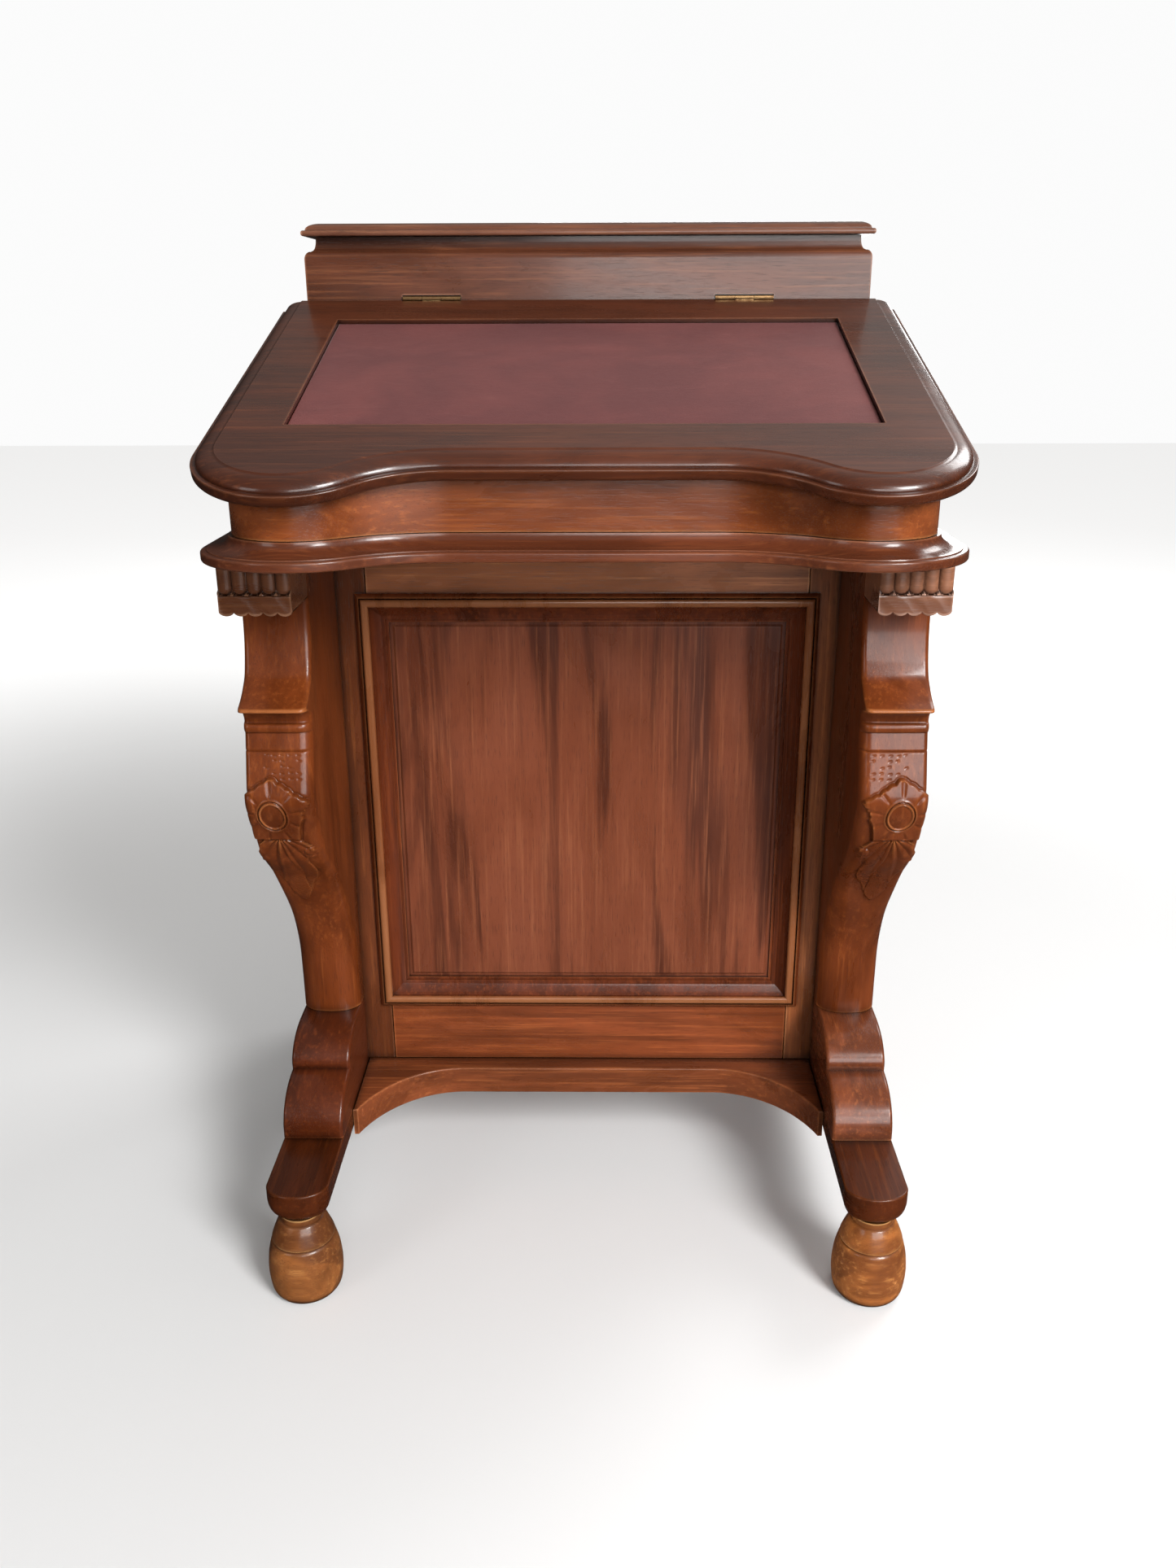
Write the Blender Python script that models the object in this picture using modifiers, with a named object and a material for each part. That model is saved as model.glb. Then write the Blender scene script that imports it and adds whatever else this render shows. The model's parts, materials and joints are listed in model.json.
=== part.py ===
"""Davenport writing desk in mahogany: a pedestal with side drawers on sledge feet, two scrolled
legs, and a slope box with a leather-lined lid and a stationery box behind it.

Metres, +Z up, the front faces -Y. The origin is on the floor under the middle of the desk.
Every depth is measured from the slope lid's hinge line, which the empty desk_frame stands on.
"""

import math

import bmesh
import bpy
from mathutils import Matrix, Vector

# Whole desk
HINGE_LINE_Y = 0.1040
GAP = 0.0003
RUNNING_GAP = 0.0010

# Serpentine outline that the lid, the frieze and the base board share
HALF_WIDTH = 0.2650
LOBE_RADIUS = 0.0690
FLAT_HALF_WIDTH = 0.0900
BOARD_CENTRE_DEPTH = 0.3195
BOARD_LOBE_DEPTH = 0.3580
LID_CENTRE_DEPTH = 0.3374
LID_LOBE_DEPTH = 0.3777
CONCAVE_STEPS = 4
LOBE_STEPS = 9

# Slope box
SLOPE_ANGLE = math.radians(17.36)
SLOPE_TOP_Z = 0.7825
LID_THICKNESS = 0.0170
EDGE_INSET = 0.0170
EDGE_DROP = 0.0085
FILLET_FALL = 0.0003
BASE_BOARD_Z = 0.6125
BASE_BOARD_TOP_Z = 0.6295
FRIEZE_INSET = 0.0220
WALL_THICKNESS = 0.0150
BODY_HALF_WIDTH = HALF_WIDTH - FRIEZE_INSET
CHEEK_FRONT_DEPTH = 0.2860
BOX_REAR = 0.1452

# Leather writing surface
LEATHER_WIDTH = 0.4156
LEATHER_NEAR = 0.0520
LEATHER_FAR = 0.2790
LEATHER_RECESS = 0.0035
LEATHER_THICKNESS = 0.0015

# Stationery box
BOX_HALF_WIDTH = BODY_HALF_WIDTH
BOX_WALL = 0.0180
BOX_FLOOR_Z = 0.7570
BOX_FLOOR_THICKNESS = 0.0080
BOX_SHOULDER_Z = 0.8205
BOX_WALL_TOP_Z = 0.8333
BOX_NECK = 0.0090
BOX_LID_TOP_Z = 0.8442
BOX_LID_HALF_WIDTH = 0.2445
BOX_LID_FRONT = -0.0015
BOX_LID_REAR = 0.1455

# Brass butt hinges
HINGE_LENGTH = 0.0500
HINGE_OFFSET = 0.1350
LEAF_THICKNESS = 0.0012
LEAF_REACH = 0.0145
BARREL_RADIUS = 0.0022
BARREL_CLEARANCE = 0.0005
BARREL_FACETS = 12
TAB_INSET = 0.0004
SLOPE_AXIS = (-0.00015, 0.7835)
BOX_AXIS = (BOX_LID_REAR + BARREL_RADIUS, BOX_WALL_TOP_Z + GAP / 2)

# Base
SIDE_X = 0.2360
RUNNER_WIDTH = 0.0516
RUNNER_FRONT = -0.3340
RUNNER_REAR = 0.1350
BASE_TOP_Z = 0.1036
BASE_THICKNESS = 0.0265
FOOT_HEIGHT = 0.0768
FOOT_RADIUS = 0.0306
FOOT_FACETS = 20
FOOT_DEPTHS = {"front": -0.3120, "rear": 0.1010}
PLATFORM_FRONT = -0.1445
PLATFORM_CORNER = -0.2120

# Pedestal
PEDESTAL_HALF_WIDTH = 0.2380
PEDESTAL_FRONT = -0.1270
PEDESTAL_REAR = 0.1350
PEDESTAL_BOTTOM_Z = BASE_TOP_Z + GAP
PEDESTAL_TOP_Z = BASE_BOARD_Z - GAP
FRAME_THICKNESS = 0.0200
SIDE_THICKNESS = 0.0160
BACK_THICKNESS = 0.0120
PANEL_OPENING_HALF = 0.1850
PANEL_OPENING_Z = (0.1710, 0.5435)
MOULDING_OUTER = 0.0090
MOULDING_WIDTH = 0.0260
MOULDING_PROUD = 0.0070
PANEL_HALF_WIDTH = 0.1845
PANEL_SINK = 0.0080
PANEL_THICKNESS = 0.0090

# Drawers
DRAWER_COUNT = 4
DRAWER_GROWTH = 0.075
DRAWER_RAIL = 0.0140
DRAWER_STILE = 0.0150
DRAWER_FRONT_THICKNESS = 0.0140
DRAWER_BOARD = 0.0080
DRAWER_BOTTOM = 0.0050
DRAWER_INNER_END = -0.2000
DUST_BOARD_THICKNESS = 0.0080
DUMMY_THICKNESS = 0.0077
KNOB_SPREAD = 0.0500
KNOB_LENGTH = 0.0260
KNOB_RADIUS = 0.0130
KNOB_FACETS = 16

# Legs
LEG_WIDTH = 0.0516
LEG_BOTTOM_Z = 0.1723
CORBEL_WIDTH = 0.0527
CORBEL_FRONT = -0.2800
CORBEL_REAR = -0.2284
CORBEL_BOTTOM_Z = 0.5704
CORBEL_SCALLOPS = 5
BLOCK_TOP_Z = 0.1720
BLOCK_STEP_Z = 0.1450

COLOURS = {
    "mahogany": (0.25, 0.075, 0.035, 0.32, 0.0),
    "mahogany_panel": (0.30, 0.10, 0.05, 0.34, 0.0),
    "mahogany_frieze": (0.38, 0.13, 0.045, 0.30, 0.0),
    "carved_mahogany": (0.33, 0.12, 0.06, 0.38, 0.0),
    "worn_mahogany": (0.42, 0.18, 0.07, 0.38, 0.0),
    "pale_wood": (0.55, 0.36, 0.20, 0.60, 0.0),
    "leather": (0.16, 0.025, 0.03, 0.50, 0.0),
    "brass": (0.60, 0.42, 0.16, 0.35, 1.0),
}


def clear_scene():
    for obj in list(bpy.data.objects):
        bpy.data.objects.remove(obj, do_unlink=True)


def new_collection(name):
    collection = bpy.data.collections.new(name)
    bpy.context.scene.collection.children.link(collection)
    return collection


clear_scene()
DESK = new_collection("davenport_desk")
CUTTERS = new_collection("cutters")


def material(part_name, finish):
    red, green, blue, roughness, metallic = COLOURS[finish]
    made = bpy.data.materials.new(part_name)
    made.use_nodes = True
    shader = made.node_tree.nodes["Principled BSDF"]
    shader.inputs["Base Color"].default_value = (red, green, blue, 1.0)
    shader.inputs["Roughness"].default_value = roughness
    shader.inputs["Metallic"].default_value = metallic
    return made


def empty(name, parent, location, rotation=(0, 0, 0)):
    holder = bpy.data.objects.new(name, None)
    DESK.objects.link(holder)
    holder.parent = parent
    holder.location = location
    holder.rotation_euler = rotation
    return holder


def add_part(name, mesh, parent, finish, location=(0, 0, 0)):
    obj = bpy.data.objects.new(name, mesh)
    DESK.objects.link(obj)
    obj.parent = parent
    obj.location = location
    mesh.materials.append(material(name, finish))
    return obj


def add_cutter(name, mesh, parent, location=(0, 0, 0)):
    obj = bpy.data.objects.new(name, mesh)
    CUTTERS.objects.link(obj)
    obj.parent = parent
    obj.location = location
    obj.hide_render = True
    obj.display_type = "WIRE"
    return obj


def combine(obj, other, operation):
    boolean = obj.modifiers.new(operation.lower(), "BOOLEAN")
    boolean.operation = operation
    boolean.object = other


def bevel(obj, width, segments=1):
    modifier = obj.modifiers.new("bevel", "BEVEL")
    modifier.width = width
    modifier.segments = segments
    modifier.limit_method = "ANGLE"
    modifier.angle_limit = math.radians(40)


def box_mesh(low, high):
    low, high = Vector(low), Vector(high)
    shape = bmesh.new()
    place = Matrix.Translation((low + high) / 2) @ Matrix.Diagonal((*(high - low), 1))
    bmesh.ops.create_cube(shape, size=1, matrix=place)
    mesh = bpy.data.meshes.new("box")
    shape.to_mesh(mesh)
    shape.free()
    return mesh


def board(name, low, high, parent, finish="mahogany", edge=0.0010):
    obj = add_part(name, box_mesh(low, high), parent, finish)
    bevel(obj, edge)
    return obj


def box_cutter(name, low, high, parent):
    return add_cutter(name, box_mesh(low, high), parent)


def flat_outline_mesh(points, thickness):
    """A filled 2D outline in its own XY plane, thick from z = 0 to thickness."""
    curve = bpy.data.curves.new("outline", "CURVE")
    curve.dimensions = "2D"
    curve.fill_mode = "BOTH"
    curve.extrude = thickness / 2
    spline = curve.splines.new("POLY")
    spline.points.add(len(points) - 1)
    for point, (x, y) in zip(spline.points, points):
        point.co = (x, y, 0, 1)
    spline.use_cyclic_u = True
    guide = bpy.data.objects.new("outline", curve)
    CUTTERS.objects.link(guide)
    graph = bpy.context.evaluated_depsgraph_get()
    mesh = bpy.data.meshes.new_from_object(guide.evaluated_get(graph))
    bpy.data.objects.remove(guide)
    shape = bmesh.new()
    shape.from_mesh(mesh)
    bmesh.ops.remove_doubles(shape, verts=shape.verts, dist=0.00002)
    bmesh.ops.translate(shape, verts=shape.verts, vec=(0, 0, thickness / 2))
    bmesh.ops.recalc_face_normals(shape, faces=shape.faces)
    shape.to_mesh(mesh)
    shape.free()
    return mesh


def side_profile_mesh(points, low_x, high_x):
    """An outline of (depth, height) points, extruded across the desk from low_x to high_x."""
    mesh = flat_outline_mesh(points, high_x - low_x)
    turn = Matrix(((0, 0, 1, low_x), (1, 0, 0, 0), (0, 1, 0, 0), (0, 0, 0, 1)))
    mesh.transform(turn)
    return mesh


def plan_mesh(points, low_z, high_z):
    mesh = flat_outline_mesh(points, high_z - low_z)
    mesh.transform(Matrix.Translation((0, 0, low_z)))
    return mesh


def loft_mesh(rings, closed=False):
    """A skin through rings of equally many points: capped at both ends, or closed on itself."""
    shape = bmesh.new()
    rows = [[shape.verts.new(point) for point in ring] for ring in rings]
    pairs = list(zip(rows, rows[1:]))
    if closed:
        pairs.append((rows[-1], rows[0]))
    else:
        shape.faces.new(rows[0])
        shape.faces.new(rows[-1])
    for lower, upper in pairs:
        for i in range(len(lower)):
            j = (i + 1) % len(lower)
            shape.faces.new((lower[i], lower[j], upper[j], upper[i]))
    bmesh.ops.recalc_face_normals(shape, faces=shape.faces)
    mesh = bpy.data.meshes.new("loft")
    shape.to_mesh(mesh)
    shape.free()
    return mesh


def turned(name, profile, parent, finish, location, facets=FOOT_FACETS):
    """A turned piece from a profile of (radius, height) points, top to bottom at +X."""
    shape = bmesh.new()
    verts = [shape.verts.new((radius, 0, height)) for radius, height in profile]
    for first, second in zip(verts, verts[1:]):
        shape.edges.new((first, second))
    mesh = bpy.data.meshes.new(name)
    shape.to_mesh(mesh)
    shape.free()
    obj = add_part(name, mesh, parent, finish, location)
    screw = obj.modifiers.new("turning", "SCREW")
    screw.steps = facets
    screw.render_steps = facets
    screw.use_merge_vertices = True
    screw.merge_threshold = 0.00002
    screw.use_smooth_shade = True
    return obj


def arc(centre, radius, start, end, steps):
    """Points on an arc from start to end, both in degrees."""
    points = []
    for i in range(steps + 1):
        angle = math.radians(start + (end - start) * i / steps)
        points.append((centre[0] + radius * math.cos(angle), centre[1] + radius * math.sin(angle)))
    return points


def serpentine(inset, centre_depth, lobe_depth, rear):
    """The shared outline, inset evenly: a straight middle that sweeps out to two round lobes."""
    lobe_x = HALF_WIDTH - LOBE_RADIUS
    lobe_y = -(lobe_depth - LOBE_RADIUS)
    run = lobe_x - FLAT_HALF_WIDTH
    rise = centre_depth + lobe_y
    sweep = (run**2 + rise**2 - LOBE_RADIUS**2) / (2 * (LOBE_RADIUS - rise))
    sweep_y = -(centre_depth + sweep)
    turn = math.degrees(math.atan2(lobe_y - sweep_y, run))
    half = arc((FLAT_HALF_WIDTH, sweep_y), sweep + inset, 90, turn, CONCAVE_STEPS)
    half += arc((lobe_x, lobe_y), LOBE_RADIUS - inset, turn - 180, 0, LOBE_STEPS)[1:]
    half.append((HALF_WIDTH - inset, rear))
    return half + [(-x, y) for x, y in reversed(half)]


def moulded_board_mesh(profile, centre_depth, lobe_depth, rear_at):
    """A board whose serpentine edge follows a profile of (inset, height) points."""
    rings = []
    for inset, height in profile:
        outline = serpentine(inset, centre_depth, lobe_depth, rear_at(height))
        rings.append([(x, y, height) for x, y in outline])
    return loft_mesh(rings)


def slope_z(depth, below):
    """Height of the plane that lies this far below the slope lid's top face."""
    return SLOPE_TOP_Z + depth * math.tan(SLOPE_ANGLE) - below / math.cos(SLOPE_ANGLE)


def make_base(frame):
    for side, sign in (("left", -1), ("right", 1)):
        half = RUNNER_WIDTH / 2
        nose = arc((0, RUNNER_FRONT + half), half, 180, 360, 12)
        flatter = [(x, RUNNER_FRONT + (y - RUNNER_FRONT) * 0.55) for x, y in nose]
        outline = [(x + sign * SIDE_X, y) for x, y in flatter]
        outline += [(sign * SIDE_X + half, RUNNER_REAR), (sign * SIDE_X - half, RUNNER_REAR)]
        mesh = plan_mesh(outline, BASE_TOP_Z - BASE_THICKNESS, BASE_TOP_Z)
        add_part(f"runner_{side}", mesh, frame, "mahogany")
        for place, depth in FOOT_DEPTHS.items():
            make_foot(f"bun_foot_{place}_{side}", frame, (sign * SIDE_X, depth, 0))
    make_platform(frame)


def make_foot(name, frame, location):
    """A bun foot: a wide low bun with a groove, a shoulder and a neck ring under the runner."""
    profile = [(0, FOOT_HEIGHT), (0.0180, FOOT_HEIGHT), (0.0175, 0.0705), (0.0235, 0.0600)]
    profile += [(0.0268, 0.0475), (0.0262, 0.0455), (0.0295, 0.0350), (FOOT_RADIUS, 0.0230)]
    profile += [(0.0300, 0.0110), (0.0260, 0), (0, 0)]
    turned(name, profile, frame, "worn_mahogany", location)


def make_platform(frame):
    """The shelf between the runners, with a hollow front edge that sweeps out to them."""
    edge = SIDE_X - RUNNER_WIDTH / 2 - GAP
    reach = edge - 0.1150
    depth = PLATFORM_FRONT - PLATFORM_CORNER
    half = []
    for i in range(9):
        angle = math.radians(90 * i / 8)
        x = edge - reach * (1 - math.sin(angle))
        y = PLATFORM_FRONT - depth * (1 - math.cos(angle))
        half.append((x, y))
    outline = half + [(edge, PEDESTAL_REAR), (-edge, PEDESTAL_REAR)]
    outline += [(-x, y) for x, y in reversed(half)]
    mesh = plan_mesh(outline, BASE_TOP_Z - BASE_THICKNESS, BASE_TOP_Z)
    add_part("base_platform", mesh, frame, "mahogany")


def leg_stations():
    """(height, depth of the front, corner radius) up the leg, from the block to the base board."""
    shaft = [(LEG_BOTTOM_Z, -0.158, 0.016), (0.205, -0.158, 0.019), (0.237, -0.160, 0.020)]
    knee = [(0.270, -0.172, 0.019), (0.305, -0.191, 0.017), (0.333, -0.210, 0.015)]
    knee += [(0.363, -0.240, 0.012), (0.397, -0.257, 0.009), (0.417, -0.264, 0.008)]
    neck = [(0.433, -0.261, 0.008), (0.452, -0.255, 0.008), (0.472, -0.250, 0.008)]
    scroll = [(0.481, -0.254, 0.006), (0.492, -0.265, 0.004), (0.500, -0.250, 0.005)]
    scroll += [(0.510, -0.238, 0.006), (0.530, -0.231, 0.007), (0.550, -0.228, 0.007)]
    return shaft + knee + neck + scroll + [(PEDESTAL_TOP_Z, -0.228, 0.005)]


def make_legs(frame):
    half = LEG_WIDTH / 2
    rear = PEDESTAL_FRONT - GAP
    for side, sign in (("left", -1), ("right", 1)):
        rings = []
        for height, front, radius in leg_stations():
            corner = arc((half - radius, front + radius), radius, -90, 0, 3)
            ring = corner + [(half, rear), (-half, rear)] + [(-x, y) for x, y in reversed(corner)]
            rings.append([(x, y, height) for x, y in ring])
        leg = add_part(f"leg_{side}", loft_mesh(rings), frame, "carved_mahogany")
        leg.location.x = sign * SIDE_X
        make_scroll_block(f"scroll_block_{side}", frame, sign * SIDE_X)
        make_corbel(f"corbel_{side}", frame, sign * SIDE_X)


def make_scroll_block(name, frame, x):
    """Two stepped quarter rounds on the runner, under the leg."""
    rear = PEDESTAL_FRONT - GAP
    outline = [(rear, PEDESTAL_BOTTOM_Z), (rear, BLOCK_TOP_Z), (-0.170, BLOCK_TOP_Z)]
    outline += [(-0.185, 0.1700), (-0.199, 0.1610), (-0.208, 0.1500), (-0.210, BLOCK_STEP_Z)]
    outline += [(-0.224, 0.1400), (-0.240, 0.1290), (-0.252, 0.1140), (-0.255, PEDESTAL_BOTTOM_Z)]
    half = RUNNER_WIDTH / 2
    mesh = side_profile_mesh(outline, x - half, x + half)
    add_part(name, mesh, frame, "mahogany")


def make_corbel(name, frame, x):
    """A bracket in front of the leg's head, scalloped along its lower edge."""
    half = CORBEL_WIDTH / 2
    pitch = CORBEL_WIDTH / CORBEL_SCALLOPS
    radius = pitch * 0.42
    spring_z = CORBEL_BOTTOM_Z + radius
    outline = [(half, spring_z), (half, PEDESTAL_TOP_Z), (-half, PEDESTAL_TOP_Z), (-half, spring_z)]
    for i in range(CORBEL_SCALLOPS):
        outline += arc((-half + pitch * (i + 0.5), spring_z), radius, 180, 360, 4)
    mesh = flat_outline_mesh(outline, CORBEL_REAR - CORBEL_FRONT)
    mesh.transform(Matrix(((1, 0, 0, x), (0, 0, -1, CORBEL_REAR), (0, 1, 0, 0), (0, 0, 0, 1))))
    add_part(name, mesh, frame, "carved_mahogany")


def make_pedestal_front(frame):
    """A frame of two stiles and two rails, with a sunk panel held by a raised moulding."""
    low, high = PEDESTAL_BOTTOM_Z, PEDESTAL_TOP_Z
    front, rear = PEDESTAL_FRONT, PEDESTAL_FRONT + FRAME_THICKNESS
    inner = PANEL_OPENING_HALF
    board("front_stile_left", (-PEDESTAL_HALF_WIDTH, front, low), (-inner, rear, high), frame)
    board("front_stile_right", (inner, front, low), (PEDESTAL_HALF_WIDTH, rear, high), frame)
    bottom, top = PANEL_OPENING_Z
    inner -= GAP
    board("front_bottom_rail", (-inner, front, low), (inner, rear, bottom), frame)
    board("front_top_rail", (-inner, front, top), (inner, rear, high), frame)
    make_panel_moulding(frame, front)
    face = front + PANEL_SINK
    margin = GAP
    low_corner = (-PANEL_HALF_WIDTH, face, bottom + margin)
    high_corner = (PANEL_HALF_WIDTH, face + PANEL_THICKNESS, top - margin)
    board("front_panel", low_corner, high_corner, frame, "mahogany_panel")


def make_panel_moulding(frame, face):
    """A bolection moulding: it laps the frame outside, crests, and dips to the sunk panel."""
    outer_half = PANEL_OPENING_HALF + MOULDING_OUTER
    lap = face - GAP
    crest = face - MOULDING_PROUD
    sunk = face + PANEL_SINK - GAP
    inner = MOULDING_WIDTH
    profile = [(0, lap), (0, crest + 0.0040), (0.0040, crest + 0.0012), (0.0080, crest)]
    profile += [(0.0105, crest + 0.0006), (0.0150, crest + 0.0060), (0.0200, sunk - 0.0050)]
    profile += [(inner, sunk - 0.0020), (inner, sunk), (MOULDING_OUTER + 0.0006, sunk)]
    profile += [(MOULDING_OUTER + 0.0006, lap)]
    bottom = PANEL_OPENING_Z[0] - MOULDING_OUTER
    top = PANEL_OPENING_Z[1] + MOULDING_OUTER
    rings = []
    for x_sign, z_edge, z_sign in ((-1, bottom, 1), (1, bottom, 1), (1, top, -1), (-1, top, -1)):
        ring = [(x_sign * (outer_half - d), y, z_edge + z_sign * d) for d, y in profile]
        rings.append(ring)
    add_part("front_panel_moulding", loft_mesh(rings, closed=True), frame, "mahogany")


def drawer_bays():
    """(bottom, top) of each drawer opening from the lowest up: the lower the drawer, the deeper."""
    usable = PEDESTAL_TOP_Z - PEDESTAL_BOTTOM_Z - (DRAWER_COUNT + 1) * DRAWER_RAIL
    shares = [1 + DRAWER_GROWTH * (DRAWER_COUNT - 1 - i) for i in range(DRAWER_COUNT)]
    bays = []
    bottom = PEDESTAL_BOTTOM_Z + DRAWER_RAIL
    for share in shares:
        height = usable * share / sum(shares)
        bays.append((bottom, bottom + height))
        bottom += height + DRAWER_RAIL
    return bays


def make_pedestal_sides(frame):
    """On the right a frame with dust boards for the drawers; on the left a board with shallow
    pockets for the dummy fronts."""
    front = PEDESTAL_FRONT + FRAME_THICKNESS + GAP
    rear = PEDESTAL_REAR - BACK_THICKNESS - GAP
    low, high = PEDESTAL_BOTTOM_Z, PEDESTAL_TOP_Z
    outer, inner = PEDESTAL_HALF_WIDTH, PEDESTAL_HALF_WIDTH - SIDE_THICKNESS
    carcase = board("drawer_carcase", (inner, front, low), (outer, rear, high), frame)
    left = board("left_side_board", (-outer, front, low), (-inner, rear, high), frame)
    back_low = (-outer, rear + GAP, low)
    board("pedestal_back", back_low, (outer, PEDESTAL_REAR, high), frame)
    bay_front, bay_rear = front + DRAWER_STILE, rear - DRAWER_STILE
    for i, (bottom, top) in enumerate(drawer_bays()):
        hole_low = (inner - 0.01, bay_front, bottom)
        hole = box_cutter(f"bay_{i}", hole_low, (outer + 0.01, bay_rear, top), frame)
        combine(carcase, hole, "DIFFERENCE")
        pocket_low = (-outer - 0.01, bay_front, bottom)
        pocket_high = (-outer + DUMMY_THICKNESS + GAP, bay_rear, top)
        combine(left, box_cutter(f"pocket_{i}", pocket_low, pocket_high, frame), "DIFFERENCE")
        make_dummy_front(i, frame, (bay_front, bay_rear), (bottom, top))
        make_drawer(i, frame, (bay_front, bay_rear), (bottom, top))
        if i:
            shelf_top = bottom
            shelf_low = (-inner + GAP, front + 0.001, shelf_top - DUST_BOARD_THICKNESS)
            shelf = box_cutter(f"shelf_{i}", shelf_low, (inner + 0.004, rear - 0.001, shelf_top), frame)
            combine(carcase, shelf, "UNION")


def knob_profile(length):
    """A mushroom knob with a neck, standing on its base at height 0."""
    radius = KNOB_RADIUS
    profile = [(0, length), (radius * 0.70, length * 0.91), (radius, length * 0.66)]
    profile += [(radius * 0.85, length * 0.45), (radius * 0.50, length * 0.28)]
    profile += [(radius * 0.74, 0), (0, 0)]
    return profile


def knob(name, parent, location, facing, finish="mahogany"):
    made = turned(name, knob_profile(KNOB_LENGTH), parent, finish, location, KNOB_FACETS)
    made.rotation_euler = (0, facing * math.pi / 2, 0)
    return made


def make_dummy_front(index, frame, depths, heights):
    """A false drawer front, glued up with its two knobs."""
    outer = -PEDESTAL_HALF_WIDTH
    low = (outer, depths[0] + GAP, heights[0] + GAP)
    high = (outer + DUMMY_THICKNESS, depths[1] - GAP, heights[1] - GAP)
    front = board(f"dummy_drawer_{index + 1}", low, high, frame, "mahogany_panel")
    for place, sign in (("front", -1), ("rear", 1)):
        middle = (depths[0] + depths[1]) / 2 + sign * KNOB_SPREAD
        spot = (outer + 0.001, middle, (heights[0] + heights[1]) / 2)
        made = knob(f"dummy_knob_{index}_{place}", frame, spot, -1)
        DESK.objects.unlink(made)
        CUTTERS.objects.link(made)
        made.hide_render = True
        made.display_type = "WIRE"
        combine(front, made, "UNION")


def make_drawer(index, frame, depths, heights):
    """A drawer that slides out to the right: its front, its open box, and two turned knobs."""
    name = f"drawer_{index + 1}"
    outer = PEDESTAL_HALF_WIDTH
    middle = ((depths[0] + depths[1]) / 2, (heights[0] + heights[1]) / 2)
    slide = empty(f"{name}_slide", frame, (outer, *middle))
    half_depth = (depths[1] - depths[0]) / 2 - RUNNING_GAP
    half_height = (heights[1] - heights[0]) / 2
    low_z, high_z = -half_height + GAP, half_height - RUNNING_GAP
    joint = -DRAWER_FRONT_THICKNESS
    front_low = (joint + GAP, -half_depth, low_z)
    board(f"{name}_front", front_low, (0, half_depth, high_z), slide, "mahogany_panel")
    inner_end = DRAWER_INNER_END - outer
    box_high = (joint, half_depth, high_z - 0.004)
    box = board(f"{name}_box", (inner_end, -half_depth, low_z), box_high, slide, "pale_wood", 0.0005)
    hollow_low = (inner_end + DRAWER_BOARD, -half_depth + DRAWER_BOARD, low_z + DRAWER_BOTTOM)
    hollow_high = (joint - DRAWER_BOARD, half_depth - DRAWER_BOARD, high_z + 0.01)
    combine(box, box_cutter(f"{name}_hollow", hollow_low, hollow_high, slide), "DIFFERENCE")
    for place, sign in (("front", -1), ("rear", 1)):
        spot = (GAP, sign * KNOB_SPREAD, 0)
        knob(f"{name}_knob_{place}", slide, spot, 1)


def make_slope_box(frame):
    """The base board with its moulded edge, the serpentine frieze and the two cheeks."""
    base, top = BASE_BOARD_Z, BASE_BOARD_TOP_Z
    lip = base + 0.0070
    profile = [(0.0015, base), (0, base + 0.0015), (0, lip - 0.0010)]
    profile += [(0.0010, lip - FILLET_FALL), (0.0040, lip)]
    profile += [(0.0100, lip + 0.0010), (0.0145, lip + 0.0040), (0.0175, top - 0.0015), (0.0190, top)]
    mesh = moulded_board_mesh(profile, BOARD_CENTRE_DEPTH, BOARD_LOBE_DEPTH, lambda height: BOX_REAR)
    add_part("desk_base_board", mesh, frame, "mahogany")

    under_lid = LID_THICKNESS + GAP
    joint = -CHEEK_FRONT_DEPTH
    outer = serpentine(FRIEZE_INSET, BOARD_CENTRE_DEPTH, BOARD_LOBE_DEPTH, joint)
    inner_inset = FRIEZE_INSET + WALL_THICKNESS
    inner = serpentine(inner_inset, BOARD_CENTRE_DEPTH, BOARD_LOBE_DEPTH, joint)
    ring = outer + list(reversed(inner))
    lower = [(x, y, top + GAP) for x, y in ring]
    upper = [(x, y, slope_z(y, under_lid)) for x, y in ring]
    add_part("slope_box_frieze", loft_mesh([lower, upper]), frame, "mahogany_frieze")

    for side, sign in (("left", -1), ("right", 1)):
        make_cheek(side, sign, frame, joint + GAP, under_lid)


def make_cheek(side, sign, frame, joint, under_lid):
    """A side of the slope box, which rises behind the lid as an end of the stationery box."""
    low_z = BASE_BOARD_TOP_Z + GAP
    seat = slope_z(0, under_lid)
    step = BOX_WALL + GAP
    outline = [(joint, low_z), (BOX_REAR, low_z), (BOX_REAR, BOX_WALL_TOP_Z)]
    outline += [(step, BOX_WALL_TOP_Z), (step, seat), (0, seat), (joint, slope_z(joint, under_lid))]
    inner_x = BODY_HALF_WIDTH - WALL_THICKNESS
    edges = sorted((sign * inner_x, sign * BOX_HALF_WIDTH))
    cheek = add_part(f"cheek_{side}", side_profile_mesh(outline, *edges), frame, "mahogany")
    neck = sorted((sign * (BOX_HALF_WIDTH - BOX_NECK), sign * (BOX_HALF_WIDTH + 0.01)))
    low = (neck[0], -0.01, BOX_SHOULDER_Z)
    high = (neck[1], BOX_REAR + 0.01, BOX_WALL_TOP_Z + 0.01)
    combine(cheek, box_cutter(f"cheek_neck_{side}", low, high, frame), "DIFFERENCE")


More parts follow.
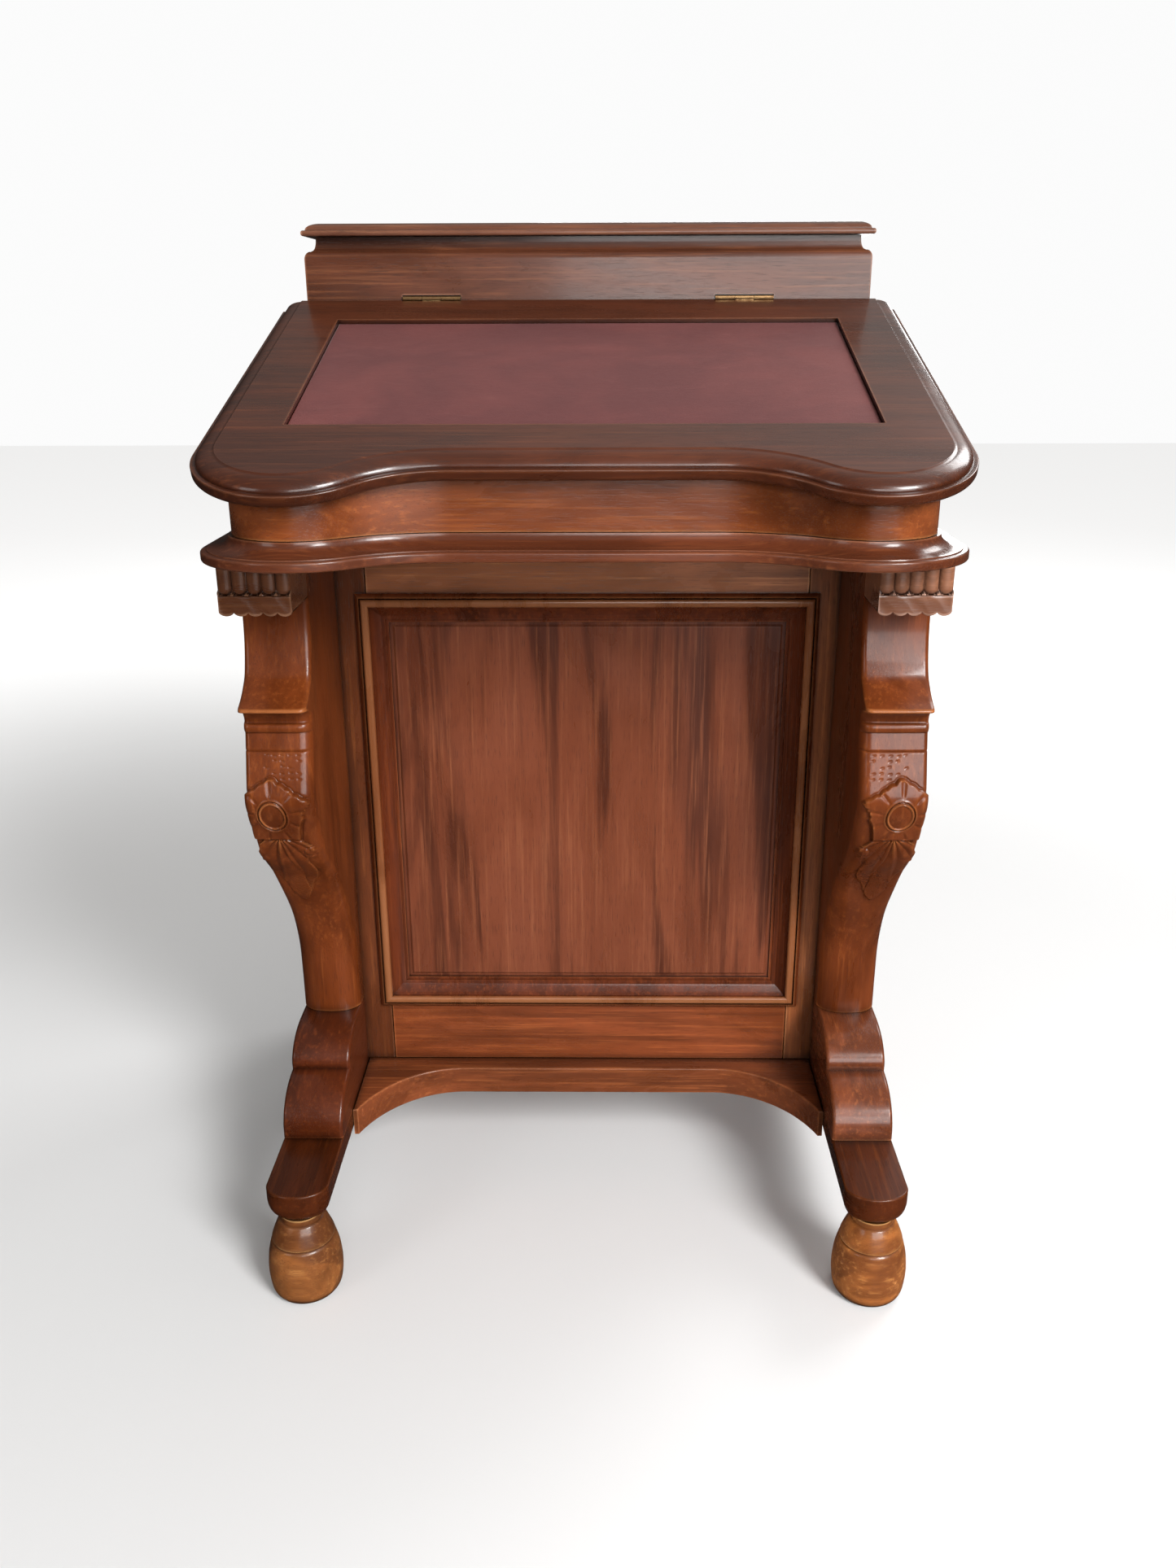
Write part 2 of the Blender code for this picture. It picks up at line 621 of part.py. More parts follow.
def make_stationery_box(frame):
    """The walls and floor of the box that stands behind the slope lid."""
    inner_x = BODY_HALF_WIDTH - WALL_THICKNESS - GAP
    seat = slope_z(0, LID_THICKNESS + GAP) + GAP
    top = BOX_WALL_TOP_Z
    half = BOX_HALF_WIDTH
    front = board("stationery_front", (-half, 0, seat), (half, BOX_WALL, top), frame)
    rebate = box_cutter(
        "front_neck", (-half - 0.01, -0.01, BOX_SHOULDER_Z), (half + 0.01, BOX_NECK, top + 0.01), frame
    )
    combine(front, rebate, "DIFFERENCE")
    for sign in (-1, 1):
        ends = sorted((sign * (half - BOX_NECK), sign * (half + 0.01)))
        low = (ends[0], -0.01, BOX_SHOULDER_Z)
        end_neck = box_cutter(f"front_neck_{sign}", low, (ends[1], BOX_WALL + 0.01, top + 0.01), frame)
        combine(front, end_neck, "DIFFERENCE")
    back_low = (-inner_x, BOX_REAR - BOX_WALL, BASE_BOARD_TOP_Z + GAP)
    back = board("stationery_back", back_low, (inner_x, BOX_REAR, top), frame)
    floor_low = (-inner_x, GAP, BOX_FLOOR_Z)
    floor_high = (inner_x, BOX_REAR - BOX_WALL - GAP, min(BOX_FLOOR_Z + BOX_FLOOR_THICKNESS, seat - GAP))
    board("stationery_floor", floor_low, floor_high, frame, "mahogany", 0.0005)
    return front, back


def make_slope_lid(frame):
    """The writing slope: a board with a thumbnail edge, sunk for its leather."""
    axis_y, axis_z = SLOPE_AXIS
    pivot = empty("slope_lid_pivot", frame, (0, axis_y, axis_z))
    plane = empty("slope_plane", pivot, (0, -axis_y, SLOPE_TOP_Z - axis_z), (SLOPE_ANGLE, 0, 0))
    fillet = -EDGE_DROP
    under = -LID_THICKNESS
    profile = [(0.0030, under), (0.0008, under + 0.0015), (0, under + 0.0035), (0, fillet - 0.0010)]
    profile += [(0.0010, fillet - FILLET_FALL), (0.0035, fillet)]
    sweep = EDGE_INSET - 0.0035
    for i in range(1, 6):
        angle = math.radians(90 * i / 5)
        inset = EDGE_INSET - sweep * math.cos(angle)
        profile.append((inset, fillet + EDGE_DROP * math.sin(angle)))

    def rear_at(height):
        """The rear end is cut upright, so it leans in the lid's own plane."""
        return -(GAP - height * math.sin(SLOPE_ANGLE)) / math.cos(SLOPE_ANGLE)

    mesh = moulded_board_mesh(profile, LID_CENTRE_DEPTH, LID_LOBE_DEPTH, rear_at)
    lid = add_part("slope_lid", mesh, plane, "mahogany")
    half = LEATHER_WIDTH / 2
    floor = -LEATHER_RECESS - LEATHER_THICKNESS - GAP
    recess = box_cutter("leather_recess", (-half, -LEATHER_FAR, floor), (half, -LEATHER_NEAR, 0.01), plane)
    combine(lid, recess, "DIFFERENCE")
    low = (-half + GAP, -LEATHER_FAR + GAP, floor + GAP)
    high = (half - GAP, -LEATHER_NEAR - GAP, -LEATHER_RECESS)
    add_part("writing_leather", box_mesh(low, high), plane, "leather")
    return pivot, lid


def make_stationery_lid(frame):
    axis_y, axis_z = BOX_AXIS
    pivot = empty("stationery_lid_pivot", frame, (0, axis_y, axis_z))
    under = BOX_WALL_TOP_Z + GAP
    fillet = BOX_LID_TOP_Z - 0.0053
    profile = [(0.0010, under), (0, under + 0.0010), (0, fillet - 0.0008)]
    profile += [(0.0008, fillet - FILLET_FALL), (0.0020, fillet)]
    for i in range(1, 4):
        angle = math.radians(90 * i / 3)
        profile.append((0.0105 - 0.0085 * math.cos(angle), fillet + 0.0053 * math.sin(angle)))
    rings = []
    for inset, height in profile:
        half = BOX_LID_HALF_WIDTH - inset
        front = BOX_LID_FRONT + inset
        corners = ((-half, front), (half, front), (half, BOX_LID_REAR), (-half, BOX_LID_REAR))
        rings.append([(x, y - axis_y, height - axis_z) for x, y in corners])
    lid = add_part("stationery_lid", loft_mesh(rings), pivot, "mahogany")
    return pivot, lid


def barrel_mesh(low_x, high_x, radius):
    shape = bmesh.new()
    place = Matrix.Translation(((low_x + high_x) / 2, 0, 0)) @ Matrix.Rotation(math.pi / 2, 4, "Y")
    bmesh.ops.create_cone(
        shape,
        cap_ends=True,
        segments=BARREL_FACETS,
        radius1=radius,
        radius2=radius,
        depth=high_x - low_x,
        matrix=place,
    )
    mesh = bpy.data.meshes.new("barrel")
    shape.to_mesh(mesh)
    shape.free()
    return mesh


def leaf_outline(knuckles):
    """A hinge leaf seen flat: a plate with one tab for each of its own knuckles."""
    half = HINGE_LENGTH / 2
    root = -(BARREL_RADIUS + BARREL_CLEARANCE)
    outline = [(-half, -LEAF_REACH), (half, -LEAF_REACH), (half, root)]
    for start, end in reversed(knuckles):
        left, right = start + TAB_INSET, end - TAB_INSET
        outline += [(right, root), (right, 0), (left, 0), (left, root)]
    return outline + [(-half, root)]


def make_hinge(name, x, frame, pivot, axis, tilt, fixed_wood, moving_wood):
    """One butt hinge on an axis along X: a fixed leaf with two knuckles under the joint plane,
    a moving leaf with the middle one over it, and the pockets in the wood that hold them."""
    half = HINGE_LENGTH / 2
    middle = HINGE_LENGTH / 6
    slot = GAP / 2
    ends = ((-half, -middle - slot), (middle + slot, half))
    centre = ((slot - middle, middle - slot),)
    turn = (tilt, 0, 0)
    bore = barrel_mesh(-half - GAP, half + GAP, BARREL_RADIUS + BARREL_CLEARANCE)
    for part, knuckles, low_z, parent, wood in (
        ("fixed", ends, -slot - LEAF_THICKNESS, frame, fixed_wood),
        ("moving", centre, slot, pivot, moving_wood),
    ):
        place = (x, *axis) if parent == frame else (x, 0, 0)
        mesh = flat_outline_mesh(leaf_outline(knuckles), LEAF_THICKNESS)
        mesh.transform(Matrix.Translation((0, 0, low_z)))
        leaf_name = f"{name}_{part}_leaf"
        leaf = add_part(leaf_name, mesh, parent, "brass", place)
        leaf.rotation_euler = turn
        for i, (start, end) in enumerate(knuckles):
            roll = barrel_mesh(start, end, BARREL_RADIUS)
            combine(leaf, add_cutter(f"{leaf_name}_knuckle_{i}", roll, parent, place), "UNION")
        low = (-half - GAP, -LEAF_REACH - GAP, low_z - GAP)
        high = (half + GAP, 0, low_z + LEAF_THICKNESS + GAP)
        pocket = add_cutter(f"{leaf_name}_pocket", box_mesh(low, high), frame, (x, *axis))
        pocket.rotation_euler = turn
        combine(wood, pocket, "DIFFERENCE")
        combine(wood, add_cutter(f"{leaf_name}_bore", bore, frame, (x, *axis)), "DIFFERENCE")


def main():
    frame = empty("desk_frame", None, (0, HINGE_LINE_Y, 0))
    make_base(frame)
    make_legs(frame)
    make_pedestal_front(frame)
    make_pedestal_sides(frame)
    make_slope_box(frame)
    front_wall, back_wall = make_stationery_box(frame)
    slope_pivot, slope_lid = make_slope_lid(frame)
    box_pivot, box_lid = make_stationery_lid(frame)
    upright = math.pi / 2
    for side, x in (("left", -HINGE_OFFSET), ("right", HINGE_OFFSET)):
        name = f"slope_hinge_{side}"
        make_hinge(name, x, frame, slope_pivot, SLOPE_AXIS, upright, front_wall, slope_lid)
        name = f"stationery_hinge_{side}"
        make_hinge(name, x, frame, box_pivot, BOX_AXIS, 0, back_wall, box_lid)


main()
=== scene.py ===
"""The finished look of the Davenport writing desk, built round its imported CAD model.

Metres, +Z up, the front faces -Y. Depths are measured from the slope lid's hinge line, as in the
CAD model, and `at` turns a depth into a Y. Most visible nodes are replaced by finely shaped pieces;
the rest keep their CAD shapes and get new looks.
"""

import json
import math

import bmesh
import bpy
import numpy as np
from mathutils import Matrix, Vector

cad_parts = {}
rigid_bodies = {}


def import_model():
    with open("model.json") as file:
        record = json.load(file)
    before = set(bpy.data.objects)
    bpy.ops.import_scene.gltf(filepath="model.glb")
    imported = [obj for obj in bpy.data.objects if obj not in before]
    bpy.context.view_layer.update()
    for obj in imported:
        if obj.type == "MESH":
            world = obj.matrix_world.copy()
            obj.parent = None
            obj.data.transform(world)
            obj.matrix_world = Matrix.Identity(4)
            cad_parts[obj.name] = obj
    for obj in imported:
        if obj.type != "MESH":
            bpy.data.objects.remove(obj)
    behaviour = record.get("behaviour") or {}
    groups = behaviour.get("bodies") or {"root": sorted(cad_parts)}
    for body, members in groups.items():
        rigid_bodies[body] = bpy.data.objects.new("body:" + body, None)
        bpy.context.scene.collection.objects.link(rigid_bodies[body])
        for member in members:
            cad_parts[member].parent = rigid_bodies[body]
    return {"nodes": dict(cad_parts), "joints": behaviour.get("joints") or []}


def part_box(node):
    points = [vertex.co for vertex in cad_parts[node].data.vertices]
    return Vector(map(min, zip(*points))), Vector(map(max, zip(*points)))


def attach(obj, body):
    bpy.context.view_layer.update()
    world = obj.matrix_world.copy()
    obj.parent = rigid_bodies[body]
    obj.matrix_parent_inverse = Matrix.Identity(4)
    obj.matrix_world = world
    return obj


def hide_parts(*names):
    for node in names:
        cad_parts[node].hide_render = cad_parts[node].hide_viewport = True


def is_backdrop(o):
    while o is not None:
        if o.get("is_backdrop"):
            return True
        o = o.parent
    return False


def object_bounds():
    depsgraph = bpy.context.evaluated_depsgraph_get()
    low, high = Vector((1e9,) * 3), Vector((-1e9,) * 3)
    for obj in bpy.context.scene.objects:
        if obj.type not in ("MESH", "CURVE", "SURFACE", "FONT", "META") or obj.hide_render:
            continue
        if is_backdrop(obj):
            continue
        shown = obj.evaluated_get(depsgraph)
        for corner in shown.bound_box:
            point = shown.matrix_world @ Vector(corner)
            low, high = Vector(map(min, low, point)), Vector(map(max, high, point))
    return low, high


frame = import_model()
cad_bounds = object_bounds()

GAP = 0.0003
HINGE_LINE_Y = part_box("stationery_front")[0].y
SIDES = (("left", -1), ("right", 1))

# Serpentine outline that the lid, the frieze and the base board share
LOBE_RADIUS = 0.0690
FLAT_HALF_WIDTH = 0.0900
BOARD_SWEEP = 0.0385
LID_SWEEP = 0.0403
SWEEP_STEPS = 26
LOBE_STEPS = 44

# Slope lid, in its own plane
SLOPE_ANGLE = math.radians(17.36)
LID_THICKNESS = 0.0170
LID_DEPTH = 0.3777
EDGE_INSET = 0.0170
EDGE_DROP = 0.0085
LEATHER_HALF_WIDTH = 0.2078
LEATHER_NEAR = 0.0520
LEATHER_FAR = 0.2790
LEATHER_RECESS = 0.0035
LEATHER_THICKNESS = 0.0015

# Frieze and stationery box
FRIEZE_INSET = 0.0220
WALL_THICKNESS = 0.0150
BOX_WALL = 0.0180
NECK_DEPTH = 0.0090
SHOULDER_Z = 0.8150

# Hinges
LEAF_THICKNESS = 0.0012
BARREL_ROOM = 0.0029

# Camera
CAMERA_DEPTH = -1.1756
CAMERA_X = 0.0140
CAMERA_Z = 0.7688
CAMERA_PITCH = math.radians(20.208)
CAMERA_YAW = math.radians(-0.749)
CAMERA_ROLL = math.radians(0.212)
CAMERA_LENS = 29.18
SENSOR = 36.0
FLOOR_SIZE = 8.0
FLOOR_FRONT = -0.7


def at(depth):
    return HINGE_LINE_Y + depth


# ---------------------------------------------------------------- materials


def connect(tree, node, inputs):
    """Link each socket among the inputs, and set the others as plain values."""
    for key, value in inputs.items():
        if isinstance(value, bpy.types.NodeSocket):
            tree.links.new(value, node.inputs[key])
        else:
            node.inputs[key].default_value = value


def add_node(tree, kind, inputs=None, **settings):
    node = tree.nodes.new(kind)
    for key, value in settings.items():
        setattr(node, key, value)
    connect(tree, node, inputs or {})
    return node


def new_material(name):
    made = bpy.data.materials.new(name)
    made.use_nodes = True
    tree = made.node_tree
    tree.nodes.clear()
    output = add_node(tree, "ShaderNodeOutputMaterial")
    shader = add_node(tree, "ShaderNodeBsdfPrincipled")
    tree.links.new(shader.outputs[0], output.inputs["Surface"])
    coords = add_node(tree, "ShaderNodeTexCoord").outputs["Object"]
    return made, tree, shader, coords


def stretched(tree, coords, grain, along, across, shift):
    """Coordinates stretched along the grain axis: counts of features per metre along and across."""
    scale = [across] * 3
    scale["xyz".index(grain)] = along
    return add_node(tree, "ShaderNodeMapping", {
        "Vector": coords, "Location": (shift, shift * 1.7, shift * 2.3), "Scale": scale,
    }).outputs[0]


def noise(tree, vector, detail=3.0, roughness=0.5, distortion=0.0):
    return add_node(tree, "ShaderNodeTexNoise", {
        "Vector": vector, "Scale": 1.0, "Detail": detail, "Roughness": roughness,
        "Distortion": distortion,
    }).outputs["Fac"]


def remap(tree, value, low, high, to_low=0.0, to_high=1.0):
    return add_node(tree, "ShaderNodeMapRange", {
        "Value": value, "From Min": low, "From Max": high, "To Min": to_low, "To Max": to_high,
    }, interpolation_type="SMOOTHSTEP").outputs[0]


def mix_colour(tree, factor, first, second, mode="MIX"):
    node = add_node(tree, "ShaderNodeMix", data_type="RGBA", blend_type=mode)
    connect(tree, node, {0: factor, 6: first, 7: second})
    return node.outputs[2]


def math_node(tree, operation, first, second):
    return add_node(tree, "ShaderNodeMath", {0: first, 1: second}, operation=operation).outputs[0]


# Of each wood: the dark streak, the body and the light streak, its roughness, how much figure shows
WOODS = {
    "mahogany": ((0.030, 0.0085, 0.0040), (0.115, 0.030, 0.0115), (0.205, 0.062, 0.022),
                 0.27, 0.55),
    "panel_mahogany": ((0.052, 0.013, 0.0065), (0.160, 0.042, 0.019), (0.230, 0.072, 0.032),
                       0.30, 0.85),
    "frieze_mahogany": ((0.085, 0.022, 0.0070), (0.235, 0.066, 0.018), (0.330, 0.110, 0.030),
                        0.24, 0.60),
    "carved_mahogany": ((0.062, 0.016, 0.0055), (0.165, 0.046, 0.014), (0.270, 0.090, 0.030),
                        0.30, 0.45),
    "worn_mahogany": ((0.062, 0.017, 0.0055), (0.260, 0.088, 0.024), (0.430, 0.185, 0.062),
                      0.33, 0.60),
    "drawer_lining": ((0.210, 0.125, 0.062), (0.400, 0.265, 0.145), (0.520, 0.370, 0.215),
                      0.62, 0.50),
}
# How strong the dark clouds are, then the broad figure's count per metre along the grain and the
# range of noise that it shades over, then how strong the pale edges are, part wear and part painted
# highlight
CLOUD = {"panel_mahogany": 0.25, "frieze_mahogany": 0.80, "worn_mahogany": 0.85,
         "carved_mahogany": 0.70, "drawer_lining": 0.10}
FIGURE = {"panel_mahogany": (1.7, 0.40, 0.55), "worn_mahogany": (9, 0.40, 0.58),
          "carved_mahogany": (5, 0.34, 0.58)}
EDGE_WEAR_AND_HIGHLIGHT = {"worn_mahogany": 0.9, "carved_mahogany": 0.75, "drawer_lining": 0.2}
# Whitens the light tone on the pale edges, which are part wear and part painted highlight
WEAR_AND_HIGHLIGHT_TINT = (1.7, 2.3, 3.2)
# Whitens the light tone on the moulding's crest, which is part rubbed wear and part painted highlight
RUB_AND_HIGHLIGHT_TINT = (1.35, 2.2, 3.4)
# The dark tone that hollows and gaps between parts are darkened towards, as painted shade
HOLLOW_SHADE_TINT = (0.35, 0.35, 0.35)


def tinted(tone, tint):
    return [c * t for c, t in zip(tone, tint)]


def rgba(colour):
    return (*colour, 1.0)


def wood(kind, grain, shift, figure_across, tone_and_painted_light=1.0, shine=0.36, wear_and_highlight_reach=0.0022,
         rub_and_highlight_y=None):
    """Polished wood: broad figure, fine fibres, open pores, painted shade in hollows and between
    parts, and pale edges that are part wear and part painted highlight.
    The two depths in the last argument are where the finish goes from whole to pale: part rubbed
    wear, part painted highlight."""
    *tones, roughness, figure = WOODS[kind]
    # The tint scales all three tones; on some pieces it also paints light, paler where more light
    # falls and darker where less does
    tint = tone_and_painted_light if isinstance(tone_and_painted_light, tuple) else (tone_and_painted_light,) * 3
    dark, body, light = (tinted(tone, tint) for tone in tones)
    made, tree, shader, coords = new_material(f"{kind}_{grain}_{shift:g}")
    along, low, high = FIGURE.get(kind, (2.6, 0.36, 0.60))
    broad = noise(tree, stretched(tree, coords, grain, along, figure_across, shift), 4, 0.55, 0.9)
    fibre = noise(tree, stretched(tree, coords, grain, 9, 330, shift + 3), 3, 0.6)
    pore = noise(tree, stretched(tree, coords, grain, 70, 1500, shift + 7), 2, 0.5)
    cloud = noise(tree, stretched(tree, coords, grain, 5, 15, shift + 11), 5, 0.6, 0.6)
    colour = mix_colour(tree, remap(tree, broad, low, high), rgba(dark), rgba(body))
    colour = mix_colour(tree, 1 - figure, colour, rgba(body))
    colour = mix_colour(tree, remap(tree, fibre, 0.48, 0.78, 0.0, 0.75), colour, rgba(light))
    clouded = remap(tree, cloud, 0.34, 0.60, CLOUD.get(kind, 0.45), 0.0)
    colour = mix_colour(tree, clouded, colour, rgba(dark))
    pores = remap(tree, pore, 0.56, 0.68)
    colour = mix_colour(tree, math_node(tree, "MULTIPLY", pores, 0.45), colour, rgba(dark))
    # Pale edges, part wear and part painted highlight: convex arrises go towards a whiter, greyer
    # tone
    edge = add_node(tree, "ShaderNodeAmbientOcclusion", {"Distance": wear_and_highlight_reach},
                    samples=6, only_local=True, inside=True)
    wear_and_highlight = remap(tree, edge.outputs["AO"], 0.50, 0.90, EDGE_WEAR_AND_HIGHLIGHT.get(kind, 0.8), 0.0)
    patchy_wear_and_highlight = math_node(tree, "MULTIPLY", wear_and_highlight, remap(tree, cloud, 0.35, 0.6, 0.35, 1.0))
    colour = mix_colour(tree, patchy_wear_and_highlight, colour, rgba(tinted(light, WEAR_AND_HIGHLIGHT_TINT)))
    # A pale band towards the crest, part rubbed wear and part painted highlight
    if rub_and_highlight_y:
        depth = add_node(tree, "ShaderNodeSeparateXYZ", {0: coords}).outputs["Y"]
        rub_and_highlight = remap(tree, depth, *rub_and_highlight_y, 0.0, 0.85)
        rub_and_highlight = math_node(tree, "MULTIPLY", rub_and_highlight, remap(tree, cloud, 0.30, 0.55, 0.45, 1.0))
        colour = mix_colour(tree, rub_and_highlight, colour, rgba(tinted(light, RUB_AND_HIGHLIGHT_TINT)))
    # Painted shade: the colour darkens where the surface is hemmed in by itself or by parts nearby
    hollow = add_node(tree, "ShaderNodeAmbientOcclusion", {"Distance": 0.011}, samples=6)
    painted_shade = remap(tree, hollow.outputs["AO"], 0.38, 0.92, 0.92, 0.0)
    colour = mix_colour(tree, painted_shade, colour, rgba(tinted(dark, HOLLOW_SHADE_TINT)))
    dull = math_node(tree, "ADD", remap(tree, cloud, 0.3, 0.7, roughness - 0.05, roughness + 0.09),
                     math_node(tree, "MULTIPLY", pores, 0.10))
    wave = noise(tree, stretched(tree, coords, grain, 6, 22, shift + 5), 2, 0.4)
    swell = add_node(tree, "ShaderNodeBump", {"Height": wave, "Strength": 0.35, "Distance": 0.0010})
    relief = math_node(tree, "ADD", math_node(tree, "MULTIPLY", pores, -0.6), fibre)
    bump = add_node(tree, "ShaderNodeBump", {
        "Height": relief, "Strength": 0.16, "Distance": 0.0003, "Normal": swell.outputs[0],
    })
    connect(tree, shader, {
        "Base Color": colour, "Roughness": dull, "Normal": bump.outputs[0],
        "Coat Weight": 0.0 if kind == "drawer_lining" else 0.75 * shine, "Coat Roughness": 0.11,
        "Specular IOR Level": 0.8 * shine,
    })
    return made


def leather():
    """Burgundy writing leather: fine pebble grain, faint scuffs and a soft sheen."""
    made, tree, shader, coords = new_material("writing_leather")
    cells = add_node(tree, "ShaderNodeTexVoronoi", {"Vector": coords, "Scale": 950.0})
    pebble = cells.outputs["Distance"]
    crease = noise(tree, stretched(tree, coords, "x", 240, 300, 2), 4, 0.6, 0.8)
    cloud = noise(tree, stretched(tree, coords, "x", 7, 9, 5), 4, 0.6, 0.4)
    scuff = noise(tree, stretched(tree, coords, "x", 22, 60, 9), 5, 0.7, 1.2)
    colour = mix_colour(tree, remap(tree, cloud, 0.35, 0.65),
                        (0.094, 0.0135, 0.0130, 1), (0.132, 0.0230, 0.0200, 1))
    scuffed = remap(tree, scuff, 0.55, 0.80, 0.0, 0.35)
    colour = mix_colour(tree, scuffed, colour, (0.190, 0.056, 0.046, 1))
    height = math_node(tree, "ADD", math_node(tree, "MULTIPLY", pebble, 0.8), crease)
    bump = add_node(tree, "ShaderNodeBump", {
        "Height": height, "Strength": 0.22, "Distance": 0.0003,
    })
    connect(tree, shader, {
        "Base Color": colour, "Roughness": remap(tree, scuff, 0.3, 0.7, 0.42, 0.56),
        "Normal": bump.outputs[0], "Specular IOR Level": 0.32, "Sheen Weight": 0.08,
        "Sheen Roughness": 0.5,
    })
    return made


def brass():
    """Aged brass with dull patches and fine scratches."""
    made, tree, shader, coords = new_material("aged_brass")
    patch = noise(tree, stretched(tree, coords, "x", 120, 160, 1), 4, 0.6)
    scratch = noise(tree, stretched(tree, coords, "x", 60, 2600, 4), 2, 0.5)
    colour = mix_colour(tree, remap(tree, patch, 0.4, 0.65),
                        (0.36, 0.22, 0.10, 1), (0.16, 0.085, 0.04, 1))
    bump = add_node(tree, "ShaderNodeBump", {
        "Height": scratch, "Strength": 0.15, "Distance": 0.0001,
    })
    connect(tree, shader, {
        "Base Color": colour, "Roughness": remap(tree, patch, 0.35, 0.7, 0.28, 0.52),
        "Normal": bump.outputs[0], "Metallic": 1.0,
    })
    return made


# ---------------------------------------------------------------- mesh tools


def arc(centre, radii, start, end, steps):
    """Points on an ellipse from start to end, both in degrees."""
    points = []
    for i in range(steps + 1):
        angle = math.radians(start + (end - start) * i / steps)
        points.append((centre[0] + radii[0] * math.cos(angle),
                       centre[1] + radii[1] * math.sin(angle)))
    return points


def flowing(points, steps):
    """A Catmull-Rom curve through the points, with this many steps between each pair."""
    rows = [np.array(p, float) for p in points]
    rows = [2 * rows[0] - rows[1], *rows, 2 * rows[-1] - rows[-2]]
    curve = []
    for a, b, c, d in zip(rows, rows[1:], rows[2:], rows[3:]):
        for i in range(steps):
            t = i / steps
            curve.append(0.5 * (2 * b + (c - a) * t + (2 * a - 5 * b + 4 * c - d) * t**2
                                + (3 * b - a - 3 * c + d) * t**3))
    curve.append(rows[-2])
    return [tuple(float(x) for x in p) for p in curve]


def inset_path(path, inset):
    """An open path moved sideways towards its right-hand side, with mitred corners."""
    points = np.array(path, float)
    steps = np.diff(points, axis=0)
    steps /= np.linalg.norm(steps, axis=1)[:, None]
    normals = np.stack([steps[:, 1], -steps[:, 0]], axis=1)
    before = np.vstack([normals[:1], normals])
    after = np.vstack([normals, normals[-1:]])
    middle = before + after
    middle /= np.linalg.norm(middle, axis=1)[:, None]
    reach = inset / np.clip((middle * after).sum(axis=1), 0.3, 1.0)
    return points + middle * reach[:, None]


def to_mesh(shape, name):
    mesh = bpy.data.meshes.new(name)
    shape.to_mesh(mesh)
    shape.free()
    return mesh


def skin(name, rings, loop=False):
    """A closed surface through rings of equally many points; a loop's last ring meets its first."""
    shape = bmesh.new()
    rows = [[shape.verts.new(tuple(point)) for point in ring] for ring in rings]
    pairs = list(zip(rows, rows[1:]))
    if loop:
        pairs.append((rows[-1], rows[0]))
    else:
        shape.faces.new(rows[0])
        shape.faces.new(rows[-1])
    for lower, upper in pairs:
        for i in range(len(lower)):
            j = (i + 1) % len(lower)
            shape.faces.new((lower[i], lower[j], upper[j], upper[i]))
    bmesh.ops.recalc_face_normals(shape, faces=shape.faces)
    return to_mesh(shape, name)


def moulded_rings(path, profile, rear_at=None):
    """Rings of a board whose edge follows a profile of (inset, height). Its rear is cut square, or
    where rear_at gives its y at a height."""
    rings = []
    for inset, height in profile:
        outline = inset_path(path, inset)
        outline[0][1] = outline[-1][1] = rear_at(height) if rear_at else path[0][1]
        rings.append([(x, y, height) for x, y in outline])
    return rings


def lower_round(low, radius, steps):
    """(inset, height) up and round a board's lower arris."""
    quarter = arc((0, 0), (radius, radius), 90, 0, steps)
    return [(radius - x, low + radius - z) for x, z in quarter]


def upper_round(high, radius, steps):
    quarter = arc((0, 0), (radius, radius), 0, 90, steps)
    return [(radius - x, high - radius + z) for x, z in quarter]


def rounded_edge(low, high, radius):
    """The (inset, height) profile of a plain board with rounded arrises."""
    return lower_round(low, radius, 5) + upper_round(high, radius, 5)


def box_mesh(boxes):
    shape = bmesh.new()
    for low, high in boxes:
        low, high = Vector(low), Vector(high)
        place = Matrix.Translation((low + high) / 2) @ Matrix.Diagonal((*(high - low), 1))
        bmesh.ops.create_cube(shape, size=1, matrix=place)
    return to_mesh(shape, "boxes")


def turned_mesh(name, profile, segments, place):
    """A turned solid from a (radius, height) profile whose first and last radius are 0."""
    shape = bmesh.new()
    poles = [shape.verts.new((0, 0, height)) for height in (profile[0][1], profile[-1][1])]
    turns = [2 * math.pi * i / segments for i in range(segments)]
    rows = [[shape.verts.new((radius * math.cos(a), radius * math.sin(a), height)) for a in turns]
            for radius, height in profile[1:-1]]
    for i in range(segments):
        j = (i + 1) % segments
        shape.faces.new((poles[0], rows[0][i], rows[0][j]))
        shape.faces.new((poles[1], rows[-1][j], rows[-1][i]))
        for lower, upper in zip(rows, rows[1:]):
            shape.faces.new((lower[i], lower[j], upper[j], upper[i]))
    bmesh.ops.transform(shape, matrix=place, verts=shape.verts)
    bmesh.ops.recalc_face_normals(shape, faces=shape.faces)
    return to_mesh(shape, name)


def cut(mesh, boxes):
    """The mesh with boxes cut out of it, one after another."""
    scene = bpy.context.scene.collection.objects
    for box in boxes:
        solid = bpy.data.objects.new("solid", mesh)
        cutter = bpy.data.objects.new("cutter", box_mesh([box]))
        scene.link(solid)
        scene.link(cutter)
        boolean = solid.modifiers.new("cut", "BOOLEAN")
        boolean.operation = "DIFFERENCE"
        boolean.solver = "EXACT"
        boolean.object = cutter
        graph = bpy.context.evaluated_depsgraph_get()
        mesh = bpy.data.meshes.new_from_object(solid.evaluated_get(graph))
        bpy.data.objects.remove(solid)
        bpy.data.objects.remove(cutter)
    return mesh


